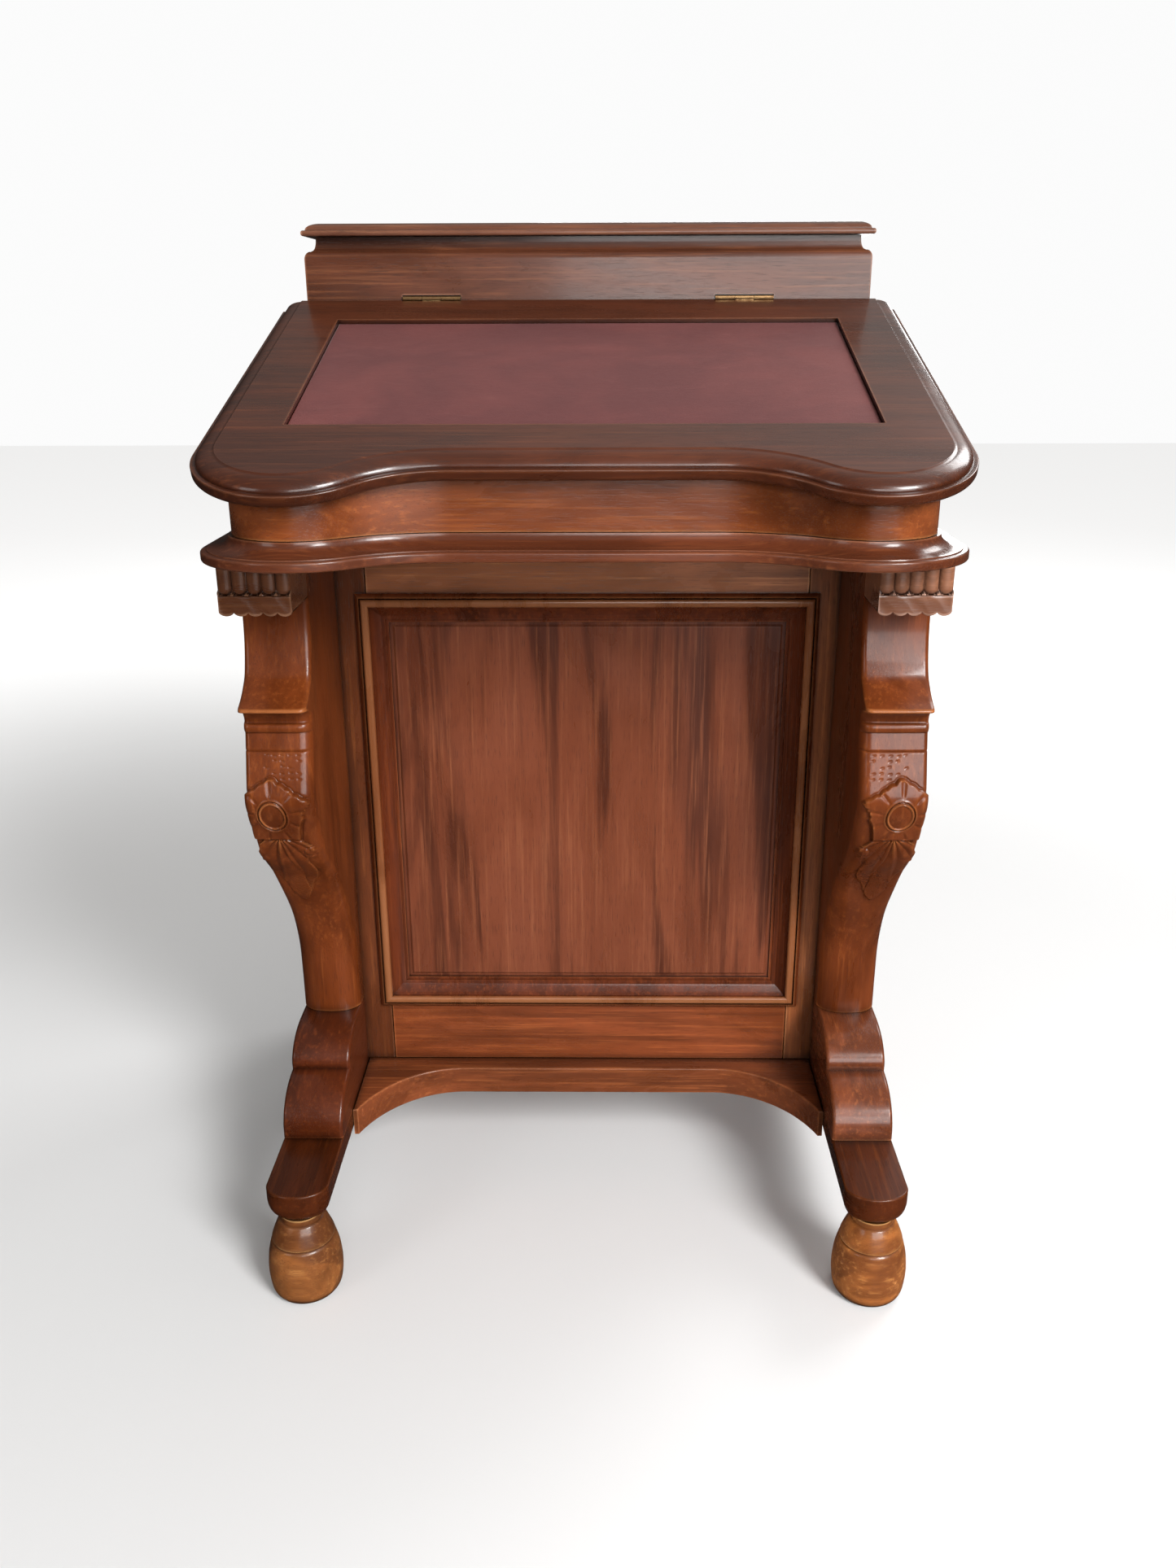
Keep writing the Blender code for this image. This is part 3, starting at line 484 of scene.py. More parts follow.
def piece(name, mesh, body, look, stands_for=(), bevel=0.0, sharp=32):
    obj = bpy.data.objects.new(name, mesh)
    bpy.context.scene.collection.objects.link(obj)
    mesh.materials.clear()
    mesh.materials.append(look)
    mesh.shade_smooth()
    mesh.set_sharp_from_angle(angle=math.radians(sharp))
    if bevel:
        rounding = obj.modifiers.new("rounding", "BEVEL")
        rounding.width = bevel
        rounding.segments = 3
        rounding.limit_method = "ANGLE"
        rounding.angle_limit = math.radians(50)
    weighted = obj.modifiers.new("normals", "WEIGHTED_NORMAL")
    weighted.keep_sharp = not bevel
    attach(obj, body)
    if stands_for:
        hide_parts(*stands_for)


# ---------------------------------------------------------------- slope lid, frieze, base board


def serpentine(half_width, lobe_depth, sweep_depth, rear):
    """An open path from the right rear corner round the front: two lobes and a hollow middle."""
    lobe_x = half_width - LOBE_RADIUS
    lobe_y = -(lobe_depth - LOBE_RADIUS)
    centre_depth = lobe_depth - sweep_depth
    run = lobe_x - FLAT_HALF_WIDTH
    rise = centre_depth + lobe_y
    sweep = (run**2 + rise**2 - LOBE_RADIUS**2) / (2 * (LOBE_RADIUS - rise))
    sweep_y = -(centre_depth + sweep)
    turn = math.degrees(math.atan2(lobe_y - sweep_y, run))
    half = arc((FLAT_HALF_WIDTH, sweep_y), (sweep, sweep), 90, turn, SWEEP_STEPS)
    half += arc((lobe_x, lobe_y), (LOBE_RADIUS, LOBE_RADIUS), turn - 180, 0, LOBE_STEPS)[1:]
    half.append((half_width, rear))
    return list(reversed(half)) + [(-x, y) for x, y in half]


def lid_plane():
    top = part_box("slope_lid")[1].z
    return Matrix.Translation((0, HINGE_LINE_Y, top)) @ Matrix.Rotation(SLOPE_ANGLE, 4, "X")


def hinge_pockets(hinge, leaf, inward):
    """The room let into the wood for both leaves of a kind, as boxes. inward is the way in."""
    joint = next(j for j in frame["joints"] if j["name"] == f"{hinge}_lid_hinge")
    axis_y, axis_z = joint["pos_m"][1:]
    plate, proud, room = LEAF_THICKNESS + 2 * GAP, 0.001, BARREL_ROOM
    boxes = []
    for side, _ in SIDES:
        low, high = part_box(f"{hinge}_hinge_{side}_{leaf}")
        left, right = low.x - GAP, high.x + GAP
        if inward.y:
            face = sorted((axis_y + inward.y * plate, axis_y - inward.y * proud))
            boxes.append(((left, face[0], low.z - GAP), (right, face[1], axis_z)))
        else:
            face = sorted((axis_z + inward.z * plate, axis_z - inward.z * proud))
            boxes.append(((left, low.y - GAP, face[0]), (right, axis_y, face[1])))
        boxes.append(((left, axis_y - room, axis_z - room), (right, axis_y + room, axis_z + room)))
    return boxes


def make_slope_lid():
    """The lid's edge is a rounded fillet, a fine quirk and an ovolo that ends in a small step."""
    under_radius, quirk, step = 0.0035, 0.0001, 0.0009
    fillet = -EDGE_DROP
    sweep = (EDGE_INSET - 0.0035, EDGE_DROP - quirk - step)
    profile = [
        *lower_round(-LID_THICKNESS, under_radius, 6), *upper_round(fillet, 0.0008, 3),
        (0.0031, fillet + quirk / 2),
        *((EDGE_INSET - x, fillet + quirk + z) for x, z in arc((0, 0), sweep, 0, 86, 16)),
        (EDGE_INSET + 0.0001, -0.0002), (EDGE_INSET + 0.0004, 0),
    ]

    def rear_at(height):
        return -(GAP - height * math.sin(SLOPE_ANGLE)) / math.cos(SLOPE_ANGLE)

    path = serpentine(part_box("slope_lid")[1].x, LID_DEPTH, LID_SWEEP, 0)
    mesh = skin("slope_lid", moulded_rings(path, profile, rear_at))
    floor, clear = -LEATHER_RECESS - LEATHER_THICKNESS - GAP, 0.01
    half = LEATHER_HALF_WIDTH
    mesh = cut(mesh, [((-half, -LEATHER_FAR, floor), (half, -LEATHER_NEAR, clear))])
    mesh.transform(lid_plane())
    pockets = hinge_pockets("slope", "moving_leaf", Vector((0, -1, 0)))
    piece("slope_lid_moulded", cut(mesh, pockets), "slope_lid",
          wood("mahogany", "x", 1.0, 26, (0.66, 0.58, 0.50), 0.48), ("slope_lid",), 0.0007)


def make_leather():
    """The writing leather, glued down flat, its edges pressed into the recess."""
    half = LEATHER_HALF_WIDTH - GAP
    near, far = LEATHER_NEAR + GAP, LEATHER_FAR - GAP
    edge = ((0, LEATHER_THICKNESS), (0, 0.0007), (0.0003, 0.0003), (0.0009, 0.00005), (0.0018, 0))
    rings = []
    for inset, drop in edge:
        rings.append([(x, y, -LEATHER_RECESS - drop) for x, y in (
            (-half + inset, -far + inset), (half - inset, -far + inset),
            (half - inset, -near - inset), (-half + inset, -near - inset))])
    mesh = skin("leather", rings)
    mesh.transform(lid_plane())
    piece("writing_leather_skiver", mesh, "slope_lid", leather(),
          ("writing_leather",))


def slope_z(depth, below):
    """Height of the plane that lies this far below the slope lid's top face."""
    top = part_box("slope_lid")[1].z
    return top + depth * math.tan(SLOPE_ANGLE) - below / math.cos(SLOPE_ANGLE)


def make_frieze():
    """The curved front of the slope box, between the base board and the lid."""
    low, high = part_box("slope_box_frieze")
    board_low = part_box("desk_base_board")[0]
    path = serpentine(-board_low.x, HINGE_LINE_Y - board_low.y, BOARD_SWEEP, high.y - HINGE_LINE_Y)
    outer = inset_path(path, FRIEZE_INSET)
    inner = inset_path(path, FRIEZE_INSET + WALL_THICKNESS)
    ring = [tuple(p) for p in outer] + [tuple(p) for p in reversed(inner)]
    under = LID_THICKNESS + GAP
    lower = [(x, at(y), low.z) for x, y in ring]
    upper = [(x, at(y), slope_z(y, under)) for x, y in ring]
    piece("slope_box_frieze_curved", skin("frieze", [lower, upper]), "desk",
          wood("frieze_mahogany", "x", 4.0, 22, (1.10, 0.95, 0.82), 0.44), ("slope_box_frieze",))


def make_base_board():
    """The base board: a rounded nose, a small fillet and a hollow up to the frieze."""
    low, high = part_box("desk_base_board")
    lip, inset_top, arris = low.z + 0.0070, 0.0195, 0.0016
    fillet_inset, fillet_height = 0.0056, 0.0008
    reach, rise = inset_top - fillet_inset, high.z - lip - fillet_height
    profile = [
        *lower_round(low.z, arris, 4), *upper_round(lip, arris, 4),
        (0.0042, lip + 0.00002), (0.0046, lip + fillet_height),
        *((fillet_inset + reach * x, high.z - rise * z) for z, x in arc((0, 0), (1, 1), 0, 90, 10)),
    ]
    path = serpentine(high.x, HINGE_LINE_Y - low.y, BOARD_SWEEP, high.y - HINGE_LINE_Y)
    mesh = skin("base_board", moulded_rings(path, profile))
    mesh.transform(Matrix.Translation((0, HINGE_LINE_Y, 0)))
    piece("desk_base_board_moulded", mesh, "desk",
          wood("mahogany", "x", 6.5, 26, (1.05, 1.0, 1.0)), ("desk_base_board",))


# ---------------------------------------------------------------- stationery box


def neck_profile(top):
    """(inset, height) of the box's shoulder and hollow neck, from the shoulder up."""
    shoulder = [(0.0048 - x, SHOULDER_Z + z) for x, z in arc((0, 0), (0.0048, 0.0066), 0, 78, 7)]
    quirk = [(0.0052, 0.82155)]
    hollow = [(0.0056 + 0.0034 * x, 0.8312 - 0.0092 * z) for z, x in arc((0, 0), (1, 1), 0, 90, 8)]
    return shoulder + quirk + hollow + [(NECK_DEPTH, top)]


def make_box_front():
    low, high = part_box("stationery_front")
    path = [(high.x, BOX_WALL), (high.x, 0), (-high.x, 0), (-high.x, BOX_WALL)]
    profile = [(0, low.z), (0, low.z + 0.02), *neck_profile(high.z)]
    mesh = skin("box_front", moulded_rings(path, profile))
    mesh.transform(Matrix.Translation((0, HINGE_LINE_Y, 0)))
    pockets = hinge_pockets("slope", "fixed_leaf", Vector((0, 1, 0)))
    # Painted reflection: the tint greys the front towards the white sheen it reflects
    piece("stationery_front_moulded", cut(mesh, pockets), "desk",
          wood("mahogany", "x", 9.0, 24, (0.98, 1.12, 1.32)), ("stationery_front",))


def make_cheeks():
    """The ends of the slope box, which rise behind the lid to carry the stationery box's neck."""
    under = LID_THICKNESS + GAP
    for side, sign in SIDES:
        node = f"cheek_{side}"
        low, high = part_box(node)
        outer = max(abs(low.x), abs(high.x))
        inner = min(abs(low.x), abs(high.x))
        front, rear = low.y - HINGE_LINE_Y, high.y - HINGE_LINE_Y
        step = BOX_WALL + GAP
        seat = slope_z(0, under)
        stations = [(inner, high.z)]
        stations += [(outer - inset, z) for inset, z in reversed(neck_profile(high.z))]
        rings = []
        for x, top in stations:
            outline = [(front, low.z), (rear, low.z), (rear, top), (step, top), (step, seat),
                       (0, seat), (front, slope_z(front, under))]
            rings.append([(sign * x, at(y), z) for y, z in outline])
        piece(f"{node}_board", skin(node, rings), "desk",
              wood("mahogany", "y", 11.0 + sign, 24, (1.6, 1.55, 1.25)), (node,))


def make_box_lid():
    """The stationery box's lid, with a rounded fillet and an ovolo on three sides."""
    low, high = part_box("stationery_lid")
    fillet, arris = high.z - 0.0060, 0.0018
    profile = [*lower_round(low.z, arris, 3), *upper_round(fillet, arris, 3),
               (0.0030, fillet + 0.00005)]
    profile += [(0.0160 - x, fillet + 0.0001 + z)
                for x, z in arc((0, 0), (0.0128, 0.0059), 0, 90, 12)]
    path = [(high.x, high.y), (high.x, low.y), (low.x, low.y), (low.x, high.y)]
    mesh = skin("box_lid", moulded_rings(path, profile))
    pockets = hinge_pockets("stationery", "moving_leaf", Vector((0, 0, 1)))
    # Painted sheen: the tint whitens the lid towards grey, as if it reflected bright surroundings
    piece("stationery_lid_moulded", cut(mesh, pockets), "stationery_lid",
          wood("mahogany", "x", 14.0, 24, (1.3, 1.75, 2.4)), ("stationery_lid",))


# ---------------------------------------------------------------- legs


LEG_ROW = 0.0007
LEG_COLUMNS = 88
CORNER_STEPS = 8


def leg_profile():
    """(height, depth) of the leg's face, from the scroll block to the base board, uncarved."""
    shaft = [(0.1723, -0.158), (0.205, -0.158), (0.237, -0.160), (0.270, -0.172), (0.305, -0.191)]
    knee = [(0.333, -0.210), (0.363, -0.240), (0.397, -0.257), (0.417, -0.264), (0.433, -0.261)]
    lower = flowing(shaft + knee + [(0.452, -0.2555), (0.4695, -0.2508)], 12)
    bead = [(0.4736 - z, -0.2503 - y) for z, y in arc((0, 0), (0.0039, 0.0029), 5, 175, 12)]
    hollow = [(0.4782 + 0.0112 * z, -0.2500 - 0.0132 * (1 - y))
              for y, z in arc((0, 0), (1, 1), 0, 84, 10)]
    lip = [(0.4905 - 0.0012 * y, -0.2638 - 0.0012 * x) for x, y in arc((0, 0), (1, 1), 65, -70, 5)]
    scroll = flowing([(0.4922, -0.2640), (0.4965, -0.2552), (0.503, -0.2460), (0.512, -0.2375),
                      (0.530, -0.2310), (0.550, -0.2280), (0.580, -0.2280), (0.6122, -0.2280)], 10)
    return lower + bead + hollow + lip + scroll


def even_rows(profile, spacing):
    """The profile resampled evenly along its own length."""
    points = np.array(profile)
    points = points[np.concatenate([[True], np.diff(points[:, 0]) > 1e-6])]
    length = np.concatenate([[0], np.cumsum(np.linalg.norm(np.diff(points, axis=0), axis=1))])
    count = int(length[-1] / spacing)
    where = np.linspace(0, length[-1], count)
    return np.stack([np.interp(where, length, points[:, i]) for i in (0, 1)], axis=1)


def smooth_step(value, low, high):
    t = np.clip((value - low) / (high - low), 0, 1)
    return t * t * (3 - 2 * t)


def polygon_distance(u, z, corners):
    """How far each point is inside a polygon, below 0 outside it."""
    distance = np.full(u.shape, 1e9)
    inside = np.zeros(u.shape, bool)
    for (ax, ay), (bx, by) in zip(corners, corners[1:] + corners[:1]):
        ex, ey = bx - ax, by - ay
        t = np.clip(((u - ax) * ex + (z - ay) * ey) / (ex * ex + ey * ey), 0, 1)
        distance = np.minimum(distance, np.hypot(u - ax - t * ex, z - ay - t * ey))
        crosses = (ay > z) != (by > z)
        height = np.where(abs(ey) > 1e-12, ey, 1e-12)
        inside ^= crosses & (u < ax + (z - ay) * ex / height)
    return np.where(inside, distance, -distance)


BUTTON = (-0.0065, 0.4055)
LEAF_ROOT = (-0.0050, 0.3850)


def plaque_outline():
    """The ragged shield under the band: scalloped along its top, wider above than below."""
    corners = [(-0.0262, 0.4235), (-0.0190, 0.4285), (-0.0120, 0.4330), (-0.0055, 0.4365),
               (-0.0010, 0.4325), (0.0055, 0.4290), (0.0110, 0.4245), (0.0180, 0.4205)]
    outline = []
    for (ax, ay), (bx, by) in zip(corners, corners[1:]):
        for i in range(5):
            t = i / 5
            rise = 0.0011 * math.sin(math.pi * t)
            outline.append((ax + (bx - ax) * t, ay + (by - ay) * t + rise))
    return outline + [
        (0.0215, 0.4195), (0.0225, 0.4165), (0.0185, 0.4100), (0.0165, 0.4060), (0.0170, 0.4030),
        (0.0135, 0.3960), (0.0110, 0.3815), (-0.0060, 0.3822), (-0.0245, 0.3815),
    ]


LEAF_LENGTH = 0.080
# The direction from the leaf's root in radians, 0 down and + inwards, and its reach that way
LEAF_REACH = (
    (-1.9, 0.004), (-1.2, 0.017), (-0.85, 0.028), (-0.62, 0.037), (-0.45, 0.036), (-0.28, 0.052),
    (-0.12, 0.078), (0.0, LEAF_LENGTH), (0.12, 0.074), (0.24, 0.063), (0.36, 0.050), (0.50, 0.036),
    (0.66, 0.030), (0.86, 0.032), (1.02, 0.030), (1.20, 0.021), (1.9, 0.004),
)


def ridge(value, middle, width):
    """1 at the middle, falling away on both sides."""
    return np.exp(-(((value - middle) / width) ** 2))


def punched_marks(u, z):
    """Scattered short dashes between the scribed line and the plaque."""
    cell_u, cell_z = 0.0062, 0.0046
    column, row = np.floor(u / cell_u), np.floor(z / cell_z)
    wander = np.sin(column * 12.9898 + row * 78.233) * 43758.5453
    wander -= np.floor(wander)
    du = u - (column + 0.5 + 0.25 * (wander - 0.5)) * cell_u
    dz = z - (row + 0.5 + 0.30 * (wander - 0.5)) * cell_z + du * 0.25
    dash = np.exp(-((du / 0.0016) ** 4) - (dz / 0.0006) ** 2)
    zone = smooth_step(z, 0.4300, 0.4330) * smooth_step(0.4545 - z, 0, 0.0010)
    return dash * zone * (abs(u - 0.002) < 0.0150) * (wander > 0.2)


def plaque_relief(u, z, edge, plaque):
    """The petals and the ringed button on the plaque."""
    du, dz = u - BUTTON[0], z - BUTTON[1]
    away = np.hypot(du / 0.0105, dz / 0.0130)
    petal = ridge(np.mod(np.arctan2(dz, du) / (2 * np.pi) * 9 + 0.2, 1), 0.5, 0.10)
    relief = -0.0009 * petal * plaque * smooth_step(away, 1.15, 1.6) * smooth_step(edge, 0, 0.002)
    relief += 0.0015 * ridge(away, 0.92, 0.085) + 0.0007 * ridge(away, 1.14, 0.055)
    relief -= 0.0007 * ridge(away, 1.03, 0.035)
    return relief + 0.0012 * np.sqrt(np.clip(1 - (away / 0.80) ** 2, 0, 1))


def leaf_relief(u, z, plaque):
    """The ribbed leaf that hangs under the plaque, the curl beside it, and its fan of cuts."""
    du, dz = u - LEAF_ROOT[0], LEAF_ROOT[1] - z
    angle = np.arctan2(du, np.maximum(dz, 1e-6))
    distance = np.hypot(du, dz)
    curl = angle + 0.30 * np.minimum(distance / LEAF_LENGTH, 1) * np.sign(angle - 0.1)
    reach = np.interp(angle, *zip(*LEAF_REACH)) * (1 + 0.06 * np.cos(angle * 17))
    leaf = smooth_step(reach - distance, -0.0002, 0.0011) * (dz > 0) * (1 - plaque)
    ribs = np.abs(np.sin(curl * 8.5 + 0.4))
    body = 0.0011 + 0.0013 * ribs**0.8 - 0.0005 * (distance / LEAF_LENGTH)
    midrib = ridge(angle + 0.5 * distance, -0.16, 0.0016 / np.maximum(distance, 0.004))
    relief = leaf * (body + 0.0009 * midrib * (distance < 0.062))
    hook = np.hypot((u - 0.0165) / 0.0046, (z - 0.3685) / 0.0040)
    relief += 0.0013 * np.exp(-(hook**4)) - 0.0006 * ridge(hook, 1.15, 0.16)
    lines = np.abs(np.sin((z - 0.318 + (u + 0.004) * -0.45) * 1500))
    fan = smooth_step(z, 0.3060, 0.3100) * smooth_step(0.3340 - z, 0, 0.003) * (u > -0.010)
    return relief - 0.0006 * (1 - lines) ** 3 * fan * leaf


def carving(u, z):
    """Relief of the leg's face in metres; u runs inwards from the leg's middle."""
    scribed_line = -0.0009 * ridge(z, 0.4560, 0.0006)
    edge = polygon_distance(u, z, plaque_outline())
    plaque = smooth_step(edge, -0.0003, 0.0007)
    relief = (scribed_line - 0.0006 * punched_marks(u, z)) * (1 - plaque) + 0.0030 * plaque
    relief -= 0.0006 * ridge(edge, -0.0009, 0.0006)
    return relief + plaque_relief(u, z, edge, plaque) + leaf_relief(u, z, plaque)


def leg_corners(z):
    """Corner sizes at a height: outer (across, back), inner (across, back), and the face's crown."""
    shaft = 1 - smooth_step(z, 0.262, 0.335)
    scroll = smooth_step(z, 0.4800, 0.4960)
    outer = 0.0040 + 0.0130 * shaft
    inner = 0.0088 + 0.0082 * shaft - 0.0046 * scroll
    back = 1 - 0.28 * shaft
    return outer, inner, back, 0.0006 + 0.0034 * shaft


def leg_ring(z, face, rear, half):
    """Points (u, y) round the carved leg at each height, from its outer rear edge to its inner
    one."""
    outer, inner, back, crown = leg_corners(z)
    turn = np.radians(np.linspace(0, 90, CORNER_STEPS, endpoint=False))[None, :]
    unturn = turn[:, ::-1]
    outer_u = -half + outer * (1 - np.cos(turn))
    outer_y = face + outer * back * (1 - np.sin(turn))
    inner_u = half - inner * (1 - np.cos(unturn))
    inner_y = face + inner * back * (1 - np.sin(unturn))
    share = np.linspace(0, 1, LEG_COLUMNS)[None, :]
    front_u = (-half + outer) * (1 - share) + (half - inner) * share
    front_y = face + 0 * front_u
    u = np.hstack([outer_u, front_u, inner_u])
    y = np.hstack([outer_y, front_y, inner_y]) + crown * (u / half) ** 2
    lean = np.hstack([np.cos(turn), 0 * share, -np.cos(unturn)]) + 0 * u
    push = np.sqrt(1 - lean**2)
    relief = carving(u, z + 0 * u) * (0.3 + 0.7 * push)
    u = u - relief * lean
    y = y - relief * push
    outer_flank, inner_flank = np.full_like(z, -half), np.full_like(z, half)
    back_edge = np.full_like(z, rear)
    u = np.hstack([outer_flank, outer_flank, u, inner_flank, inner_flank])
    y = np.hstack([back_edge, (rear + y[:, :1]) / 2, y, (rear + y[:, -1:]) / 2, back_edge])
    return u, y


def grid_mesh(name, x, y, z):
    """A closed solid from arrays whose rows are rings and whose columns run round each ring."""
    rows, columns = x.shape
    index = np.arange(rows * columns).reshape(rows, columns)
    along = np.roll(index, -1, axis=1)
    quads = np.stack([index[:-1], along[:-1], along[1:], index[1:]], axis=-1).reshape(-1, 4)
    faces = quads.tolist() + [index[0].tolist(), index[-1].tolist()]
    mesh = bpy.data.meshes.new(name)
    mesh.from_pydata(np.stack([x, y, z], axis=-1).reshape(-1, 3).tolist(), [], faces)
    shape = bmesh.new()
    shape.from_mesh(mesh)
    bmesh.ops.recalc_face_normals(shape, faces=shape.faces)
    shape.to_mesh(mesh)
    shape.free()
    return mesh


def make_legs():
    rows = even_rows(leg_profile(), LEG_ROW)
    z, face = rows[:, :1], at(rows[:, 1:])
    for side, sign in SIDES:
        low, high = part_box(f"leg_{side}")
        half = (high.x - low.x) / 2
        u, y = leg_ring(z, face, high.y, half)
        x = (high.x + low.x) / 2 - sign * u
        heights = np.clip(z, low.z, high.z) + 0 * u
        look = wood("carved_mahogany", "z", 20.0 + sign, 40, (0.95, 0.72, 0.45), 0.30, 0.0034)
        piece(f"leg_{side}_carved", grid_mesh("leg", x, y, heights), "desk",
              look, (f"leg_{side}",), sharp=55)


# Painted light: the right corbel is painted far paler and greyer than the left, as if more light fell
# on it from the right
CORBEL_PAINTED_LIGHT = {"left": (1.0, 1.2, 1.5), "right": (1.55, 2.2, 3.6)}
CORBEL_LOBES = 5
CORBEL_COLUMNS = 100
CORBEL_DROP = 0.0035
GADROON_ROWS = 34
BAND_HEIGHT = 0.0150
SCALLOP_DEPTH = 0.0036
FLUTE_DEPTH = 0.0030


def make_corbels():
    """A bracket with five upright gadroons over a plain band with a scalloped lower edge."""
    band_rows = [(0.0, 0.0010), (0.02, 0.0003), (0.06, 0.0), *((k / 12, 0.0) for k in range(1, 12)),
                 (0.97, 0.0003), (1.0, 0.0012)]
    for side, sign in SIDES:
        low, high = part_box(f"corbel_{side}")
        half = (high.x - low.x) / 2
        u = np.linspace(-half, half, CORBEL_COLUMNS)[None, :]
        phase = np.mod((u / half + 1) / 2 * CORBEL_LOBES, 1) * 2 - 1
        phase[0, -1] = 1.0
        lobe = np.sqrt(np.clip(1 - (phase * 0.97) ** 2, 0, 1))
        bottom = low.z - CORBEL_DROP
        spring = bottom + SCALLOP_DEPTH
        edge = spring - SCALLOP_DEPTH * lobe
        band_top = np.full_like(u, bottom + BAND_HEIGHT)
        rows_z, rows_in = [np.full_like(u, spring)], [np.full_like(u, 0.0045)]
        for share, inset in band_rows:
            rows_z.append(edge + (band_top - edge) * share)
            rows_in.append(np.full_like(u, inset) + 0.0004 * np.sin(share * 3 + u * 260))
        end = half / CORBEL_LOBES * 0.8
        for k in range(GADROON_ROWS):
            level = band_top + 0.0001 + (high.z - band_top - 0.0001) * k / (GADROON_ROWS - 1)
            drop = np.clip((band_top + end - level) / end, 0, 1)
            inside = 1 - phase**2 - drop**2
            bulge = np.clip(inside, 0, 1) ** 0.60
            spandrel = smooth_step(-inside, 0.02, 0.14) * (drop > 0)
            rows_z.append(level)
            rows_in.append(FLUTE_DEPTH * (1 - bulge) * (1 - spandrel))
        z = np.vstack(rows_z)
        y = low.y + np.clip(np.vstack(rows_in), 0, None)
        rear_z = z.max(axis=1, keepdims=True)
        plain_rows = len(rear_z) - GADROON_ROWS
        rear_z[:plain_rows] = np.linspace(spring, band_top.min(), plain_rows)[:, None]
        rear_y = np.full_like(rear_z, high.y)
        x = (high.x + low.x) / 2 + u + 0 * y
        x = np.hstack([x[:, :1], x, x[:, -1:]])
        y = np.hstack([rear_y, y, rear_y])
        z = np.hstack([rear_z, z, rear_z])
        piece(f"corbel_{side}_carved", grid_mesh("corbel", x, y, z), "desk",
              wood("carved_mahogany", "x", 24.0 + sign, 60, CORBEL_PAINTED_LIGHT[side], 0.55),
              (f"corbel_{side}",), sharp=45)


# Painted light: the right block is painted lighter and the left one darker, as if lit from the right
BLOCK_PAINTED_LIGHT = {"left": (0.80, 0.58, 0.36), "right": (1.55, 1.45, 1.2)}


def make_scroll_blocks():
    """Two stepped quarter rounds under each leg, with soft side arrises."""
    radius = 0.0030
    for side, sign in SIDES:
        low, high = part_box(f"scroll_block_{side}")
        front, rear = low.y - HINGE_LINE_Y, high.y - HINGE_LINE_Y
        step = 0.1455
        lower = arc((front + 0.0440, low.z + 0.0060), (0.0440, step - low.z - 0.0075), 180, 92, 14)
        upper = arc((-0.166, step + 0.0018), (0.0435, high.z - step - 0.0018), 180, 90, 14)
        path = [(front, low.z), *lower, (-0.2092, step - 0.0012), (-0.2092, step), *upper,
                (rear, high.z)]
        rings = []
        quarter = [(radius * (1 - math.sin(t)), radius * (1 - math.cos(t)))
                   for t in (math.radians(a) for a in range(0, 91, 15))]
        stations = [(low.x + x, inset) for inset, x in quarter]
        stations += [(high.x - x, inset) for inset, x in reversed(quarter)]
        for x, inset in stations:
            outline = inset_path(path, inset)
            outline[0][1] = low.z
            outline[-1][0] = rear
            rings.append([(x, at(y), z) for y, z in (*outline, (rear, low.z))])
        piece(f"scroll_block_{side}_shaped", skin("block", rings), "desk",
              wood("mahogany", "y", 28.0 + sign, 26, BLOCK_PAINTED_LIGHT[side]),
              (f"scroll_block_{side}",), sharp=40)


# ---------------------------------------------------------------- base


def under_curve(reach, base, height):
    """(reach, height) of a quarter round that swells from the underside to the full width."""
    return [(reach * math.sin(a), base + height * (1 - math.cos(a)) if a else base)
            for a in (math.radians(90 * i / 9) for i in range(10))]


def make_runners():
    """The sledge runners, with a round nose that swells up from its underside."""
    for side, sign in SIDES:
        low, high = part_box(f"runner_{side}")
        middle, half = (low.x + high.x) / 2, (high.x - low.x) / 2
        nose_depth = half * 0.72
        nose = arc((0, low.y + nose_depth), (half, nose_depth), 0, -180, 36)
        path = [(half, high.y), *nose, (-half, high.y)]
        tuck, belly = 0.0085, 0.6 * (high.z - low.z)
        edge = [(inset, z) for inset, z in rounded_edge(low.z, high.z, 0.0016) if z > low.z + belly]
        base = np.array(path)
        near_nose = np.clip((low.y + 0.060 - base[:, 1]) / 0.035, 0, 1)[:, None]
        rings = []
        for inset, z in [(tuck - x, y) for x, y in under_curve(tuck, low.z, belly)] + edge:
            full = inset_path(path, inset)
            outline = base + (full - base) * (near_nose if z <= low.z + belly else 1)
            outline[0][1] = outline[-1][1] = high.y
            rings.append([(x, y, z) for x, y in outline])
        mesh = skin("runner", rings)
        mesh.transform(Matrix.Translation((middle, 0, 0)))
        piece(f"runner_{side}_shaped", mesh, "desk",
              wood("mahogany", "y", 31.0 + sign, 26, (0.62, 0.48, 0.25), 0.22), (f"runner_{side}",))


def make_platform():
    """The shelf between the runners, with a hollow front that sweeps out to them."""
    low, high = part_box("base_platform")
    edge, tip, hollow_x, centre, slant = high.x, 0.0040, 0.1150, at(-0.1445), 24
    reach = (edge - tip - hollow_x) / math.cos(math.radians(slant))
    depth = (centre - low.y) / (1 - math.sin(math.radians(slant)))
    hollow = arc((hollow_x, centre - depth), (reach, depth), 90, slant, 26)
    half = [*hollow, (edge, low.y), (edge, high.y)]
    path = list(reversed(half)) + [(-x, y) for x, y in half]
    mesh = skin("platform", moulded_rings(path, rounded_edge(low.z, high.z, 0.0014)))
    piece("base_platform_shaped", mesh, "desk",
          wood("mahogany", "x", 34.0, 26, (1.75, 1.7, 1.4), 0.26), ("base_platform",))


# Painted light: the right feet are painted lighter than the left ones, as if lit from the right
FOOT_PAINTED_LIGHT = {"left": (1.12, 1.12, 0.95), "right": (1.70, 1.65, 1.30)}


